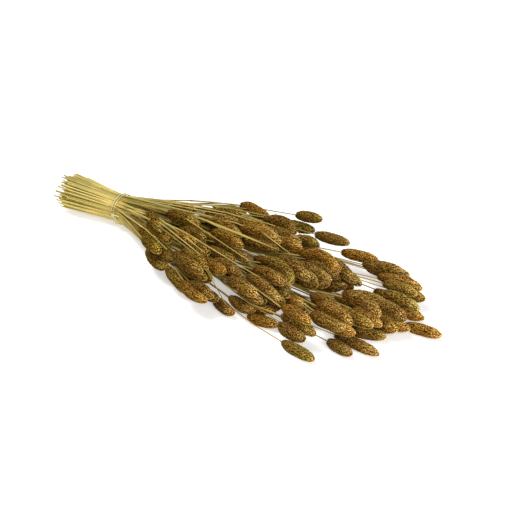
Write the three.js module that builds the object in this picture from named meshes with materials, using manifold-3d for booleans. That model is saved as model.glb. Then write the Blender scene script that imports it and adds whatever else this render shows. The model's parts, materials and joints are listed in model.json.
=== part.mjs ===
// A tied bunch of dried canary grass, lying on a table: straw stalks that fan out from a string tie, each one
// ending in a golden brown seed head. Millimetres, +Z up, +X from the cut ends to the heads.
import * as THREE from "three";
import { mergeVertices } from "three/addons/utils/BufferGeometryUtils.js";
import Module from "manifold-3d";

const wasm = await Module();
wasm.setup();

// Driving dimensions. Distances along the bunch are measured from the tie.
const CUT_REACH = 82; // tie to the longest cut end
const TIP_REACH = 424; // tie to the furthest head tip
const WAIST_RADIUS = 15.6; // stalks at the tie
const STRING_DIAMETER = 1.6;
const STRING_GAP = 0.9; // between the stalks and the string
const STRING_LIFT = 0.2; // the string's lowest point, before it is pressed on the table
const WAIST_HEIGHT = WAIST_RADIUS + STRING_GAP + STRING_DIAMETER + STRING_LIFT; // middle of the tie
const PILE_HEIGHT = 50; // top of the heads over the table
const HEAD_LENGTH = 46; // mean seed head
const HEAD_RADIUS = 7;
const SHORTEST_HEAD = 0.8; // shares of the mean head
const LONGEST_HEAD = 1.2;
const THINNEST_HEAD = 0.9;
const THICKEST_HEAD = 1.1;
const STRAY_HEAD = 0.95;
const STALK_BUTT_RADIUS = 1;
const STALK_TIP_RADIUS = 0.7;
const CLUSTERS = 40;
const CLUSTER_HEADS = 3; // heads that lie pressed together side by side

// The fan: its near edge flares as a power of the distance from the tie, and it leans to the near side.
const FLARE = 7.5;
const FLARE_POWER = 0.487;
const FAN_SPREAD = 0.857;
const FAN_LEAN = -0.2;
const FRONT_ROUNDING = 0.32; // how much shorter the stalks at the fan's two sides are
const FRONT_CENTRE = 0.07;
const FRONT_MARGIN = 8; // how far the clusters stay behind the fan's front
const FIRST_HEAD = 42; // nearest base of a head on the outside of the bunch
const INNER_DELAY = 174; // how much further out the heads of the innermost stalks begin
const REACH_BELOW = 0.5; // the larger these powers, the more heads near the tie, under the pile
const REACH_ABOVE = 2.1; // and on top of it
const OUTER_POWER = 0.36; // the smaller, the more heads on the outside of the pile
const LIFT_POWER = 0.4; // the smaller, the more heads near its top
const SIDE_DROP = 0.54; // share of the pile's height that is gone at its sides
const FRONT_DROP = 0.8; // and at its front
const CUT_FLARE = 0.7; // how much wider the bunch is at its cut ends than at the tie
const CUT_RISE = 0.2; // and how much higher
const CUT_LIFT = 1; // how much further the cut ends' middle is over the table
const CUT_RAGGED = 16; // spread of the cut ends' lengths
const SPLAY_POWER = 0.893;
const STALK_ARCH = 3;

// Clusters over the bundle between the tie and the fan, from its far side over the top to the near one.
const SADDLE_CLUSTERS = 10;
const SADDLE_FAR = Math.PI * 0.36;
const SADDLE_NEAR = Math.PI * 0.88;
const SADDLE_REACH = 172; // furthest base of one of them

// Stalks that stand out of the bunch: where each head's middle is, and its length.
const STRAYS = [
  { x: 207, y: 68, z: 42, length: 32 },
  { x: 149, y: 46, z: 36, length: 38 },
  { x: 80, y: 8, z: 38, length: 36 },
  { x: 243, y: 60, z: 30, length: 42 },
  { x: 350, y: 32, z: 14, length: 40 },
  { x: 400, y: -8, z: 8, length: 44 },
  { x: 360, y: -71, z: 8, length: 60 },
  { x: 350, y: -87, z: 7, length: 34 },
  { x: 319, y: -114, z: 7, length: 48 },
  { x: 256, y: -84, z: 8, length: 42 },
  { x: 208, y: -90, z: 8, length: 38 },
  { x: 358, y: -41, z: 8, length: 40 },
  { x: 196, y: 64, z: 28, length: 40 },
  { x: 280, y: 58, z: 22, length: 44 },
  { x: 226, y: -78, z: 10, length: 42 },
];

// Dry leaf blades: where each tip is.
const BLADES = [
  { x: 235, y: -16, z: 46 },
  { x: 190, y: 40, z: 42 },
  { x: 150, y: -58, z: 34 },
  { x: 128, y: 46, z: 38 },
];
const BLADE_HALF_WIDTH = 2.4;
const BLADE_HALF_THICKNESS = 0.45;
const BLADE_TIP_WIDTH = 0.35; // as a share of the blade's

// Steps of low-discrepancy sequences, in place of random draws.
const GOLDEN = 0.6180339887498949;
const PLASTIC_A = 0.7548776662466927;
const PLASTIC_B = 0.5698402909980532;
const GOLDEN_ANGLE = 2 * Math.PI * (1 - GOLDEN);

const FIRST_SHARE = 0.342;
const share = (index, step) => (FIRST_SHARE + index * step) % 1;
const mix = (low, high, t) => low + (high - low) * t;
const clamp = (value, low, high) => Math.min(high, Math.max(low, value));

// A head's outline: its radius at a share of the way from base to tip, as a share of its widest.
const WIDEST_AT = 0.4;
const BASE_NARROWING = 0.9;
const BLUNTNESS = 3; // of the tip, where 2 would be an ellipse
function headOutline(t) {
  if (t < WIDEST_AT) return Math.sqrt(1 - BASE_NARROWING * ((WIDEST_AT - t) / WIDEST_AT) ** 2);
  return Math.sqrt(Math.max(0, 1 - ((t - WIDEST_AT) / (1 - WIDEST_AT)) ** BLUNTNESS));
}

// The fan's own shape.
const sideOf = (u, x) => FLARE * x ** FLARE_POWER * (FAN_SPREAD * u + FAN_LEAN);
const topOf = (x) => PILE_HEIGHT * (1 - FRONT_DROP * (x / TIP_REACH) ** 3);
const frontOf = (u) => TIP_REACH * (1 - FRONT_ROUNDING * (u - FRONT_CENTRE) ** 2);

// The room for the middles of the stalks at the tie.
const WAIST_ROOM = WAIST_RADIUS - STALK_BUTT_RADIUS;

// Where a stalk starts at the tie and where its head's middle is meant to be.
function stalkTo({ waistY, waistZ, x, y, z, length, radius, cluster = null, blade = false }) {
  const slope = (y - waistY) / x;
  const half = blade ? 0 : length / 2 / Math.sqrt(1 + slope * slope);
  return { waistY, waistZ, x, y, z, radius, cluster, blade, base: x - half, tip: x + half };
}

// The heads of a cluster.
const BESIDE_START = 0.25; // how far they first are from each other, in radii
const MIDDLE_AHEAD = 7; // how far the middle one is ahead of the others
const CLUSTER_LEAN = Math.PI * 0.7; // range of the angles at which they lie beside each other

// Stalks whose heads lie side by side, from a sunflower layout of the waist.
function clusterOfStalks(cluster) {
  const out = ((cluster + 0.5) / CLUSTERS) ** OUTER_POWER;
  const saddle = cluster - (CLUSTERS - SADDLE_CLUSTERS);
  const isSaddle = saddle >= 0;
  const saddleAngle = mix(SADDLE_FAR, SADDLE_NEAR, saddle / (SADDLE_CLUSTERS - 1));
  const angle = isSaddle ? saddleAngle : cluster * GOLDEN_ANGLE;
  const u = out * Math.cos(angle);
  const v = out * Math.sin(angle);
  const apart = (share(cluster, PLASTIC_B) - 0.5) * CLUSTER_LEAN;
  return Array.from({ length: CLUSTER_HEADS }, (_, k) => {
    const index = CLUSTER_HEADS * cluster + k;
    const place = k - (CLUSTER_HEADS - 1) / 2;
    const length = HEAD_LENGTH * mix(SHORTEST_HEAD, LONGEST_HEAD, share(index, GOLDEN));
    const radius = HEAD_RADIUS * mix(THINNEST_HEAD, THICKEST_HEAD, share(index, PLASTIC_B));
    const nearest = FIRST_HEAD + INNER_DELAY * (1 - out * out);
    const reach = share(cluster, PLASTIC_A) ** mix(REACH_BELOW, REACH_ABOVE, 0.5 * (1 + v));
    const furthest = isSaddle ? SADDLE_REACH : frontOf(u) - length - FRONT_MARGIN;
    const base = mix(nearest, furthest, isSaddle ? share(saddle, GOLDEN) : reach);
    const x = base + length / 2 + MIDDLE_AHEAD * (0.5 - Math.abs(place));
    const lift = (0.5 * (1 + v)) ** LIFT_POWER * (1 - SIDE_DROP * u * u);
    const beside = place * radius * BESIDE_START;
    return stalkTo({
      waistY: WAIST_ROOM * u + place * Math.cos(apart),
      waistZ: WAIST_ROOM * v + place * Math.sin(apart),
      x,
      y: sideOf(u, x) + beside * Math.cos(apart),
      z: radius + (topOf(x) - 2 * radius) * lift + beside * Math.sin(apart),
      length,
      radius,
      cluster,
    });
  });
}

// A stalk or blade whose end is set by hand leaves the tie on the side that it goes to.
function loneStalk({ x, y, z, length }, blade) {
  const edge = Math.abs(sideOf(y < 0 ? -1 : 1, x));
  const side = clamp(y / edge, -1, 1);
  const up = clamp((2 * z) / topOf(x) - 1, -1, 1);
  const rim = WAIST_ROOM / Math.max(1, Math.hypot(side, up));
  const radius = blade ? BLADE_HALF_WIDTH : HEAD_RADIUS * STRAY_HEAD;
  return stalkTo({ waistY: side * rim, waistZ: up * rim, x, y, z, length, radius, blade });
}

// Every stalk is followed at stations along the bunch, where stalks and heads push each other clear.
const STATION_STEP = 7;
const ROUNDS = 460;
const GROWING_ROUNDS = 240; // the heads swell while they find their places
const FIRST_SIZE = 0.3;
const SETTLING_ROUNDS = 160; // the last rounds keep less of the stalks' stiffness
const CLEARANCE = 1.6;
const STALK_ROOM = 1.1; // how close two stalks lie, as a share of touching
const CLUSTER_PRESS = 0.7; // how close two pressed heads lie, as a share of touching
const STIFFNESS = 0.5;
const SETTLING_STIFFNESS = 0.2;
const HOMING = 0.01;
const HEAD_MOBILITY = 0.25; // a head gives way less than a passing stalk
const PUSH = 1.2;
const FLOOR_PRESS = 0.6; // how deep the lowest heads press flat on the table
const STALK_LIFT = 0.5; // how far the stalks stay over it
const FAN_ORIGIN = 30; // the stalks spread from about this far behind the tie
const END_STIFFNESS = 0.5; // a tip's own share of its stalk's stiffness
const LEAST_DISTANCE = 1e-6;

const stalkRadius = (stalk, x) =>
  mix(STALK_BUTT_RADIUS, STALK_TIP_RADIUS, clamp(x / (stalk.base + 1), 0, 1));

function roomAt(stalk, x) {
  if (stalk.blade) return x < stalk.tip ? stalk.radius : 0;
  if (x < stalk.base) return stalkRadius(stalk, x);
  return x > stalk.tip ? 0 : stalk.radius * headOutline((x - stalk.base) / (stalk.tip - stalk.base));
}

function plannedPoint(stalk, x) {
  const t = x / stalk.x;
  const start = WAIST_HEIGHT + stalk.waistZ;
  const arch = STALK_ARCH * Math.max(0, 4 * t * (1 - t)) * (stalk.x / TIP_REACH);
  return [mix(stalk.waistY, stalk.y, t ** SPLAY_POWER), mix(start, stalk.z, t) + arch];
}

function addStations(stalk) {
  const last = Math.ceil(stalk.tip / STATION_STEP);
  stalk.room = [];
  stalk.plan = [];
  for (let k = 0; k <= last; k++) {
    stalk.room.push(roomAt(stalk, k * STATION_STEP));
    stalk.plan.push(plannedPoint(stalk, k * STATION_STEP));
  }
  stalk.path = stalk.plan.map((point) => [...point]);
  stalk.isHead = stalk.room.map((room, k) => !stalk.blade && k * STATION_STEP >= stalk.base && room > 0);
  return stalk;
}

// One station's pushes: heads keep clear of all but their neighbours in a cluster, which they press against.
function pushStation(stalks, k, pushes, grown) {
  const x = k * STATION_STEP + FAN_ORIGIN;
  const here = stalks.map((stalk, index) => index).filter((index) => stalks[index].room[k] > 0);
  here.forEach((i, n) => {
    for (const j of here.slice(n + 1)) {
      const a = stalks[i];
      const b = stalks[j];
      const dy = a.path[k][0] - b.path[k][0];
      const dz = a.path[k][1] - b.path[k][1];
      const splay = (a.path[k][0] + b.path[k][0]) / 2 / x;
      const flat = 1 / (1 + splay * splay);
      const distance = Math.sqrt(dy * dy * flat + dz * dz) + LEAST_DISTANCE;
      const touching = a.room[k] * (a.isHead[k] ? grown : 1) + b.room[k] * (b.isHead[k] ? grown : 1);
      const beside = a.cluster !== null && a.cluster === b.cluster && j === i + 1;
      const pressed = beside && a.isHead[k] && b.isHead[k];
      const stems = !a.isHead[k] && !b.isHead[k];
      const loose = stems ? touching * STALK_ROOM : touching + CLEARANCE;
      const wanted = pressed ? touching * CLUSTER_PRESS : loose;
      if (distance >= wanted && !pressed) continue;
      const mobilityA = a.isHead[k] ? HEAD_MOBILITY : 1;
      const mobilityB = b.isHead[k] ? HEAD_MOBILITY : 1;
      const push = (PUSH * (wanted - distance)) / distance / (mobilityA + mobilityB);
      pushes[i].add(dy * push * mobilityA, dz * push * mobilityA);
      pushes[j].add(-dy * push * mobilityB, -dz * push * mobilityB);
    }
  });
}

class Push {
  y = 0;
  z = 0;
  count = 0;
  add(dy, dz) {
    this.y += dy;
    this.z += dz;
    this.count += 1;
  }
}

// The stalk's own stiffness: each station is drawn to the line through its neighbours.
function straighten(stalk, stiffness, homing) {
  const last = stalk.path.length - 1;
  const old = stalk.path.map((point) => [...point]);
  for (let k = 1; k <= last; k++)
    for (const axis of [0, 1]) {
      const line =
        k < last
          ? (old[k - 1][axis] + old[k + 1][axis]) / 2
          : 2 * old[k - 1][axis] - old[k - 2][axis];
      stalk.path[k][axis] += stiffness * (line - old[k][axis]) * (k < last ? 1 : END_STIFFNESS);
      stalk.path[k][axis] += homing * (stalk.plan[k][axis] - old[k][axis]);
    }
}

// The string keeps the first stations together.
const TIED_STATIONS = 2;
function holdInTie(point) {
  const out = Math.hypot(point[0], point[1] - WAIST_HEIGHT);
  const keep = Math.min(1, WAIST_ROOM / out);
  point[0] *= keep;
  point[1] = WAIST_HEIGHT + (point[1] - WAIST_HEIGHT) * keep;
}

function settleStalks(stalks) {
  const stations = Math.max(...stalks.map((stalk) => stalk.path.length));
  for (let round = 0; round < ROUNDS; round++) {
    const settling = round >= ROUNDS - SETTLING_ROUNDS;
    const grown = Math.min(1, mix(FIRST_SIZE, 1, round / GROWING_ROUNDS));
    for (const stalk of stalks)
      straighten(stalk, settling ? SETTLING_STIFFNESS : STIFFNESS, settling ? 0 : HOMING);
    for (let k = 0; k < stations; k++) {
      const pushes = stalks.map(() => new Push());
      pushStation(stalks, k, pushes, grown);
      stalks.forEach((stalk, i) => {
        if (!(stalk.room[k] > 0)) return;
        const parts = Math.max(1, pushes[i].count);
        const floor = stalk.room[k] + (stalk.isHead[k] ? -FLOOR_PRESS : STALK_LIFT);
        stalk.path[k][0] += pushes[i].y / parts;
        stalk.path[k][1] = Math.max(floor, stalk.path[k][1] + pushes[i].z / parts);
        if (k < TIED_STATIONS) holdInTie(stalk.path[k]);
      });
    }
  }
  return stalks;
}

const stalks = settleStalks(
  [
    ...Array.from({ length: CLUSTERS }, (_, cluster) => clusterOfStalks(cluster)).flat(),
    ...STRAYS.map((stray) => loneStalk(stray, false)),
    ...BLADES.map((blade) => loneStalk(blade, true)),
  ].map(addStations),
);

// A stalk's middle line at any distance from the tie.
function pointOn(stalk, x) {
  const k = clamp(Math.floor(x / STATION_STEP), 0, stalk.path.length - 2);
  const t = x / STATION_STEP - k;
  const [a, b] = [stalk.path[k], stalk.path[k + 1]];
  return new THREE.Vector3(x, mix(a[0], b[0], t), mix(a[1], b[1], t));
}

// Solids.
const MERGE_DISTANCE = 1e-4;
function solidFrom(geometry) {
  const bare = new THREE.BufferGeometry();
  bare.setAttribute("position", geometry.getAttribute("position"));
  bare.setIndex(geometry.getIndex());
  const merged = mergeVertices(bare, MERGE_DISTANCE);
  return new wasm.Manifold(
    new wasm.Mesh({
      numProp: 3,
      vertProperties: new Float32Array(merged.getAttribute("position").array),
      triVerts: new Uint32Array(merged.getIndex().array),
    }),
  );
}

function geometryFrom(solid) {
  const { vertProperties, triVerts } = solid.getMesh();
  const geometry = new THREE.BufferGeometry();
  geometry.setAttribute("position", new THREE.BufferAttribute(vertProperties, 3));
  geometry.setIndex(new THREE.BufferAttribute(triVerts, 1));
  return geometry;
}

// Pieces joined with no hollow closed in between them.
function joined(solids) {
  const shells = wasm.Manifold.union(solids).decompose();
  return wasm.Manifold.union(shells.filter((shell) => shell.volume() > 0));
}

// What would lie below the table is pressed flat on it.
const PRESSED_DEPTH = 0.8;
const TABLE_SIZE = 1200;
const table = solidFrom(
  new THREE.BoxGeometry(TABLE_SIZE, TABLE_SIZE, TABLE_SIZE).translate(0, 0, PRESSED_DEPTH - TABLE_SIZE / 2),
);
const pressedFlat = (solid) => solid.subtract(table);

// A closed skin over rings of points, from a first point to a last one. A quad's diagonal joins its two low
// corners, so each raised corner stands up as a pyramid.
function skinOver(first, rings, last, isRaised) {
  const sides = rings[0].length;
  const points = [first, ...rings.flat(), last];
  const at = (ring, side) => 1 + ring * sides + (side % sides);
  const index = [];
  for (let side = 0; side < sides; side++) {
    index.push(0, at(0, side + 1), at(0, side));
    index.push(points.length - 1, at(rings.length - 1, side), at(rings.length - 1, side + 1));
    for (let ring = 0; ring + 1 < rings.length; ring++) {
      const [a, b] = [at(ring, side), at(ring, side + 1)];
      const [c, d] = [at(ring + 1, side), at(ring + 1, side + 1)];
      if (isRaised(ring, side)) index.push(a, b, c, b, d, c);
      else index.push(a, b, d, a, d, c);
    }
  }
  const geometry = new THREE.BufferGeometry().setFromPoints(points);
  geometry.setIndex(index);
  return geometry;
}

// A ring of points round a line, whose direction is never upright.
const UP = new THREE.Vector3(0, 0, 1);
function ringAround(centre, direction, radii, turn = 0) {
  const side = new THREE.Vector3().crossVectors(UP, direction).normalize();
  const up = new THREE.Vector3().crossVectors(direction, side).normalize();
  return radii.map(([across, rise], k) => {
    const angle = turn + (2 * Math.PI * k) / radii.length;
    return centre
      .clone()
      .addScaledVector(side, across * Math.cos(angle))
      .addScaledVector(up, rise * Math.sin(angle));
  });
}

// A seed head: rows of spikelets, larger than life, each one a raised scale that leans to the tip.
const HEAD_SIDES = 6;
const HEAD_ROWS = [0.1, 0.45, 0.84];
const SCALE_LEAN = 0.05;
const SCALE_DEPTH = 0.16;
const AIM = 2; // a head's direction is taken this far before and after
function headRing({ base, tip, radius, path }, t, size) {
  const x = mix(base, tip, t);
  const direction = pointOn({ path }, x + AIM).sub(pointOn({ path }, x - AIM)).normalize();
  const radii = Array(HEAD_SIDES).fill([radius * size, radius * size]);
  return ringAround(pointOn({ path }, x), direction, radii);
}

function headSolid(stalk) {
  const isRaised = (row, side) => (row + side) % 2 === 0;
  const rings = HEAD_ROWS.map((t, row) => {
    const low = headRing(stalk, t, (1 - SCALE_DEPTH) * headOutline(t));
    const high = headRing(stalk, t + SCALE_LEAN, headOutline(t + SCALE_LEAN));
    return low.map((point, side) => (isRaised(row, side) ? high[side] : point));
  });
  const [base, tip] = [pointOn(stalk, stalk.base), pointOn(stalk, stalk.tip)];
  return solidFrom(skinOver(base, rings, tip, isRaised));
}

// The points of a line that its shape needs.
const LINE_TOLERANCE = 1.7;
function simplified(points) {
  const [first, last] = [points[0], points.at(-1)];
  const line = new THREE.Line3(first, last);
  const foot = new THREE.Vector3();
  let furthest = 0;
  let split = 0;
  points.forEach((point, k) => {
    const distance = line.closestPointToPoint(point, true, foot).distanceTo(point);
    if (distance > furthest) [furthest, split] = [distance, k];
  });
  if (furthest < LINE_TOLERANCE) return [first, last];
  return [...simplified(points.slice(0, split + 1)).slice(0, -1), ...simplified(points.slice(split))];
}

// A stalk or blade from its cut end through the tie to its head.
const STALK_SIDES = 3;
const HEAD_GAP = 0.4; // the stalk stops this short of its head, which is a node of its own
function stalkLine(stalk, index) {
  const cut = CUT_REACH - CUT_RAGGED * share(index, PLASTIC_A);
  const waist = pointOn(stalk, 0);
  const cutY = waist.y * (1 + (CUT_FLARE * cut) / CUT_REACH);
  const cutZ = WAIST_HEIGHT + CUT_LIFT + (waist.z - WAIST_HEIGHT) * (1 + (CUT_RISE * cut) / CUT_REACH);
  const end = stalk.blade ? stalk.tip : stalk.base - HEAD_GAP;
  const ahead = [];
  for (let x = 0; x < end; x += STATION_STEP) ahead.push(pointOn(stalk, x));
  ahead.push(pointOn(stalk, end));
  return [new THREE.Vector3(-cut, cutY, cutZ), ...simplified(ahead)];
}

function stalkSolid(stalk, index) {
  const line = stalkLine(stalk, index);
  const rings = line.map((point, k) => {
    const before = line[Math.max(0, k - 1)];
    const after = line[Math.min(line.length - 1, k + 1)];
    const direction = after.clone().sub(before).normalize();
    const thin = stalkRadius(stalk, point.x);
    const blade = stalk.blade && point.x > 0;
    const narrow = k === line.length - 1 ? BLADE_TIP_WIDTH : 1;
    const size = blade ? [BLADE_HALF_WIDTH * narrow, BLADE_HALF_THICKNESS] : [thin, thin];
    return ringAround(point, direction, Array(STALK_SIDES).fill(size), Math.PI / 2);
  });
  return solidFrom(skinOver(line[0], rings, line.at(-1), () => true));
}

// The stalks hold together in a core at the tie, which the outer ones stand out of.
const CORE_RADIUS = WAIST_ROOM;
const CORE_LENGTH = 12;
const CORE_SIDES = 12;
function stalksSolid() {
  const core = new THREE.CylinderGeometry(CORE_RADIUS, CORE_RADIUS, CORE_LENGTH, CORE_SIDES);
  core.rotateZ(Math.PI / 2).translate(0, 0, WAIST_HEIGHT);
  return joined([solidFrom(core), ...stalks.map(stalkSolid)]);
}

// The tie: two turns of string, a knot on the near side and its two short ends.
const STRING_SIDES = 5;
const STRING_STEPS = 34;
const STRING_TURNS = 2;
const STRING_PITCH = 3.2;
const COIL_POINTS = 12; // in a turn
const KNOT_RADIUS = 1.7;
const KNOT_STRETCH = [2.2, 1, 1.1];
const KNOT_PROUD = 0.6; // how far the knot's middle stands out of the coil
const TAIL_POINTS = [0, 0.35, 0.7, 1];
const TAIL_STEPS = 3;
const TAIL_AHEAD = 9.9;
const TAIL_START = 1.2; // out of the knot's middle
const TAIL_OUT = 0.8;
const TAIL_APART = 4.95;
const TAIL_SAG = 3;
const stringRadius = STRING_DIAMETER / 2;
const coilRadius = WAIST_RADIUS + STRING_GAP + stringRadius;

function coilPoint(turn) {
  const angle = Math.PI - 2 * Math.PI * turn;
  return new THREE.Vector3(
    STRING_PITCH * (turn - STRING_TURNS / 2),
    coilRadius * Math.cos(angle),
    WAIST_HEIGHT + coilRadius * Math.sin(angle),
  );
}

function stringAlong(points, steps) {
  const section = new THREE.Shape(
    Array.from({ length: STRING_SIDES }, (_, k) =>
      new THREE.Vector2(stringRadius, 0).rotateAround(new THREE.Vector2(), (2 * Math.PI * k) / STRING_SIDES),
    ),
  );
  const extrudePath = new THREE.CatmullRomCurve3(points);
  return solidFrom(new THREE.ExtrudeGeometry(section, { steps, extrudePath, bevelEnabled: false }));
}

// One of the string's ends, which come out of the knot towards the heads and sag.
function tailSolid(knotAt, hand) {
  const points = TAIL_POINTS.map((t) => {
    const rise = hand * TAIL_APART * t - TAIL_SAG * t * t;
    return knotAt.clone().add(new THREE.Vector3(TAIL_AHEAD * t, -TAIL_START - TAIL_OUT * t, rise));
  });
  return stringAlong(points, TAIL_STEPS);
}

function tieSolid() {
  const coil = Array.from({ length: 1 + STRING_TURNS * COIL_POINTS }, (_, k) => coilPoint(k / COIL_POINTS));
  const knotAt = new THREE.Vector3(0, -coilRadius - KNOT_PROUD, WAIST_HEIGHT);
  const knot = new THREE.IcosahedronGeometry(KNOT_RADIUS, 1).scale(...KNOT_STRETCH);
  knot.translate(...knotAt);
  const tails = [-1, 1].map((hand) => tailSolid(knotAt, hand));
  return joined([stringAlong(coil, STRING_STEPS), solidFrom(knot), ...tails]);
}

// The scene graph.
const straw = new THREE.MeshStandardMaterial({ color: 0xb9a052, roughness: 0.7, metalness: 0 });
const seed = new THREE.MeshStandardMaterial({ color: 0x6f4d16, roughness: 0.8, metalness: 0 });
const twine = new THREE.MeshStandardMaterial({ color: 0xd6c98a, roughness: 0.85, metalness: 0 });

const bunch = new THREE.Group();
bunch.name = "canary_grass_bunch";
function addPiece(name, solid, material) {
  const mesh = new THREE.Mesh(geometryFrom(pressedFlat(solid)), material);
  mesh.name = name;
  bunch.add(mesh);
}

addPiece("stalks", stalksSolid(), straw);
addPiece("tie", tieSolid(), twine);
const number = (index) => String(index + 1).padStart(2, "0");
const headSolids = (first, count) => stalks.slice(first, first + count).map(headSolid);
for (let cluster = 0; cluster < CLUSTERS; cluster++)
  addPiece(
    `seed_heads_${number(cluster)}`,
    joined(headSolids(CLUSTER_HEADS * cluster, CLUSTER_HEADS)),
    seed,
  );
STRAYS.forEach((_, stray) =>
  addPiece(`stray_head_${number(stray)}`, joined(headSolids(CLUSTER_HEADS * CLUSTERS + stray, 1)), seed),
);

// The origin is under the middle of the bunch, on the table.
const box = new THREE.Box3().setFromObject(bunch);
const middle = box.getCenter(new THREE.Vector3());
bunch.position.set(-middle.x, -middle.y, -box.min.z);

export default bunch;
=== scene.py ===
"""The looks of a tied bunch of dried canary grass that lies on a pale table.

The stalks settle by the same rule as in the solids, so each fine piece lies where its node is. The seed heads
are covered in keeled husks, the straws are hollow and jointed, and the tie is a twisted string with a knot.
"""

import json
import logging
import math
from dataclasses import dataclass, field
from enum import Enum
from typing import Callable, Iterable

import bpy
import numpy as np
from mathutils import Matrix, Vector

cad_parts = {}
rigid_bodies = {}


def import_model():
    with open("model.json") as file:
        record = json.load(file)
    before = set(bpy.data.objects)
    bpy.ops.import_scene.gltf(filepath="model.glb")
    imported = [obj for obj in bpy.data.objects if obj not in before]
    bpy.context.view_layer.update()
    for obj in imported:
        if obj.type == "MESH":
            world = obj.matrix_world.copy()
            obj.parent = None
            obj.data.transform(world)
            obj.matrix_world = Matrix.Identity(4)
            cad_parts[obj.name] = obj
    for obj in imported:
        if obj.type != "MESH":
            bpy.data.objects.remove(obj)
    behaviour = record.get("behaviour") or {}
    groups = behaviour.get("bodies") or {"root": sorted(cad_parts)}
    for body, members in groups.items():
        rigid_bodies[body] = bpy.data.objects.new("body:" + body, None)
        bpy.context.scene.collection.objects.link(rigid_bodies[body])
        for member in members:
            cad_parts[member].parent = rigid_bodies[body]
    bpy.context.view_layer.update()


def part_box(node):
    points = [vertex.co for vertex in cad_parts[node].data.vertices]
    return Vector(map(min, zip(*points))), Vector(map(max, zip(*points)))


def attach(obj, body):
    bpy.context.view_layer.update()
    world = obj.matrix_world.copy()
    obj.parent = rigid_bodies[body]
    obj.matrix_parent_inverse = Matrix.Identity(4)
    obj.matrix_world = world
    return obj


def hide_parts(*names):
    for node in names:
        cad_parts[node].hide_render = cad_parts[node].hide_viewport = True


log = logging.getLogger("canary_grass")

MM = 0.001
TIE_IN_FRAME = np.array([-169.991, 23.820, -0.8])  # the tie's place on the table, in mm
UP = np.array([0.0, 0.0, 1.0])
ASKEW = np.array([0.31, 0.2, 0.93])  # a direction that the string never runs in

# Steps of low-discrepancy sequences, in place of random draws.
GOLDEN = 0.6180339887498949
PLASTIC_A = 0.7548776662466927
PLASTIC_B = 0.5698402909980532
GOLDEN_ANGLE = 2 * math.pi * (1 - GOLDEN)
FIRST_SHARE = 0.342

Numbers = float | np.ndarray
Feed = bpy.types.NodeSocket | float | tuple  # what a shader's input takes: an output to link, or a value
Stops = tuple[tuple[float, tuple[float, float, float]], ...]  # a run of colours, each with its place


def share(index: int | np.ndarray, step: float) -> Numbers:
    """An even spread of numbers from 0 to 1, in a mixed order."""
    return (FIRST_SHARE + index * step) % 1


def mix(low: Numbers, high: Numbers, t: Numbers) -> Numbers:
    """The value a share t of the way from low to high."""
    return low + (high - low) * t


def unit(vectors: np.ndarray) -> np.ndarray:
    """The same vectors at length one."""
    return vectors / np.linalg.norm(vectors, axis=-1, keepdims=True)


def hermite(values: np.ndarray, places: np.ndarray) -> np.ndarray:
    """A smooth line through evenly spaced values.

    Args:
        values: one row per station.
        places: where to read the line, counted in stations.

    Returns:
        One row per place.
    """
    slopes = np.gradient(values, axis=0)
    k = np.clip(np.floor(places).astype(int), 0, len(values) - 2)
    t = (places - k)[:, None]
    start = values[k] * (1 + 2 * t) * (1 - t) ** 2 + slopes[k] * t * (1 - t) ** 2
    end = values[k + 1] * (3 - 2 * t) * t**2 + slopes[k + 1] * t**2 * (t - 1)
    return start + end


def taut(x: np.ndarray, heights: np.ndarray) -> np.ndarray:
    """A line that is pulled tight over a row of heights.

    Args:
        x: where the heights are, in rising order.
        heights: what the line lies on.

    Returns:
        The line's own height at each place.
    """
    hull = [0]
    for k in range(1, len(x)):
        while len(hull) > 1:
            a, b = hull[-2:]
            if (heights[b] - heights[a]) * (x[k] - x[a]) > (heights[k] - heights[a]) * (x[b] - x[a]):
                break
            hull.pop()
        hull.append(k)
    return np.interp(x, x[hull], heights[hull])


class Ending(Enum):
    """What a stalk carries at its end."""

    CLUSTER_HEAD = "head in a cluster"
    STRAY_HEAD = "stray head"
    LEAF = "leaf blade"
    INSIDE = "nothing, broken off inside the bundle"
    OVER = "nothing, broken off over the heads"


@dataclass
class Stalk:
    """One stalk, in millimetres from the tie.

    Args:
        ending: what it carries at its end.
        waist: where it passes through the tie, to the side and up from the tie's middle.
        goal: where the middle of its head is meant to be.
        radius: the radius of its head, or half the width of its leaf blade.
        base: how far from the tie its head starts.
        tip: how far from the tie it ends.
        cluster: the number of its head's cluster, or -1.
        path: where it settles at each station, to the side and up.
    """

    ending: Ending
    waist: tuple[float, float]
    goal: tuple[float, float, float]
    radius: float
    base: float
    tip: float
    cluster: int = -1
    path: np.ndarray = field(default_factory=lambda: np.zeros((0, 2)))

    @property
    def is_leaf(self) -> bool:
        """Whether a leaf blade grows here in place of a head."""
        return self.ending is Ending.LEAF


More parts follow.
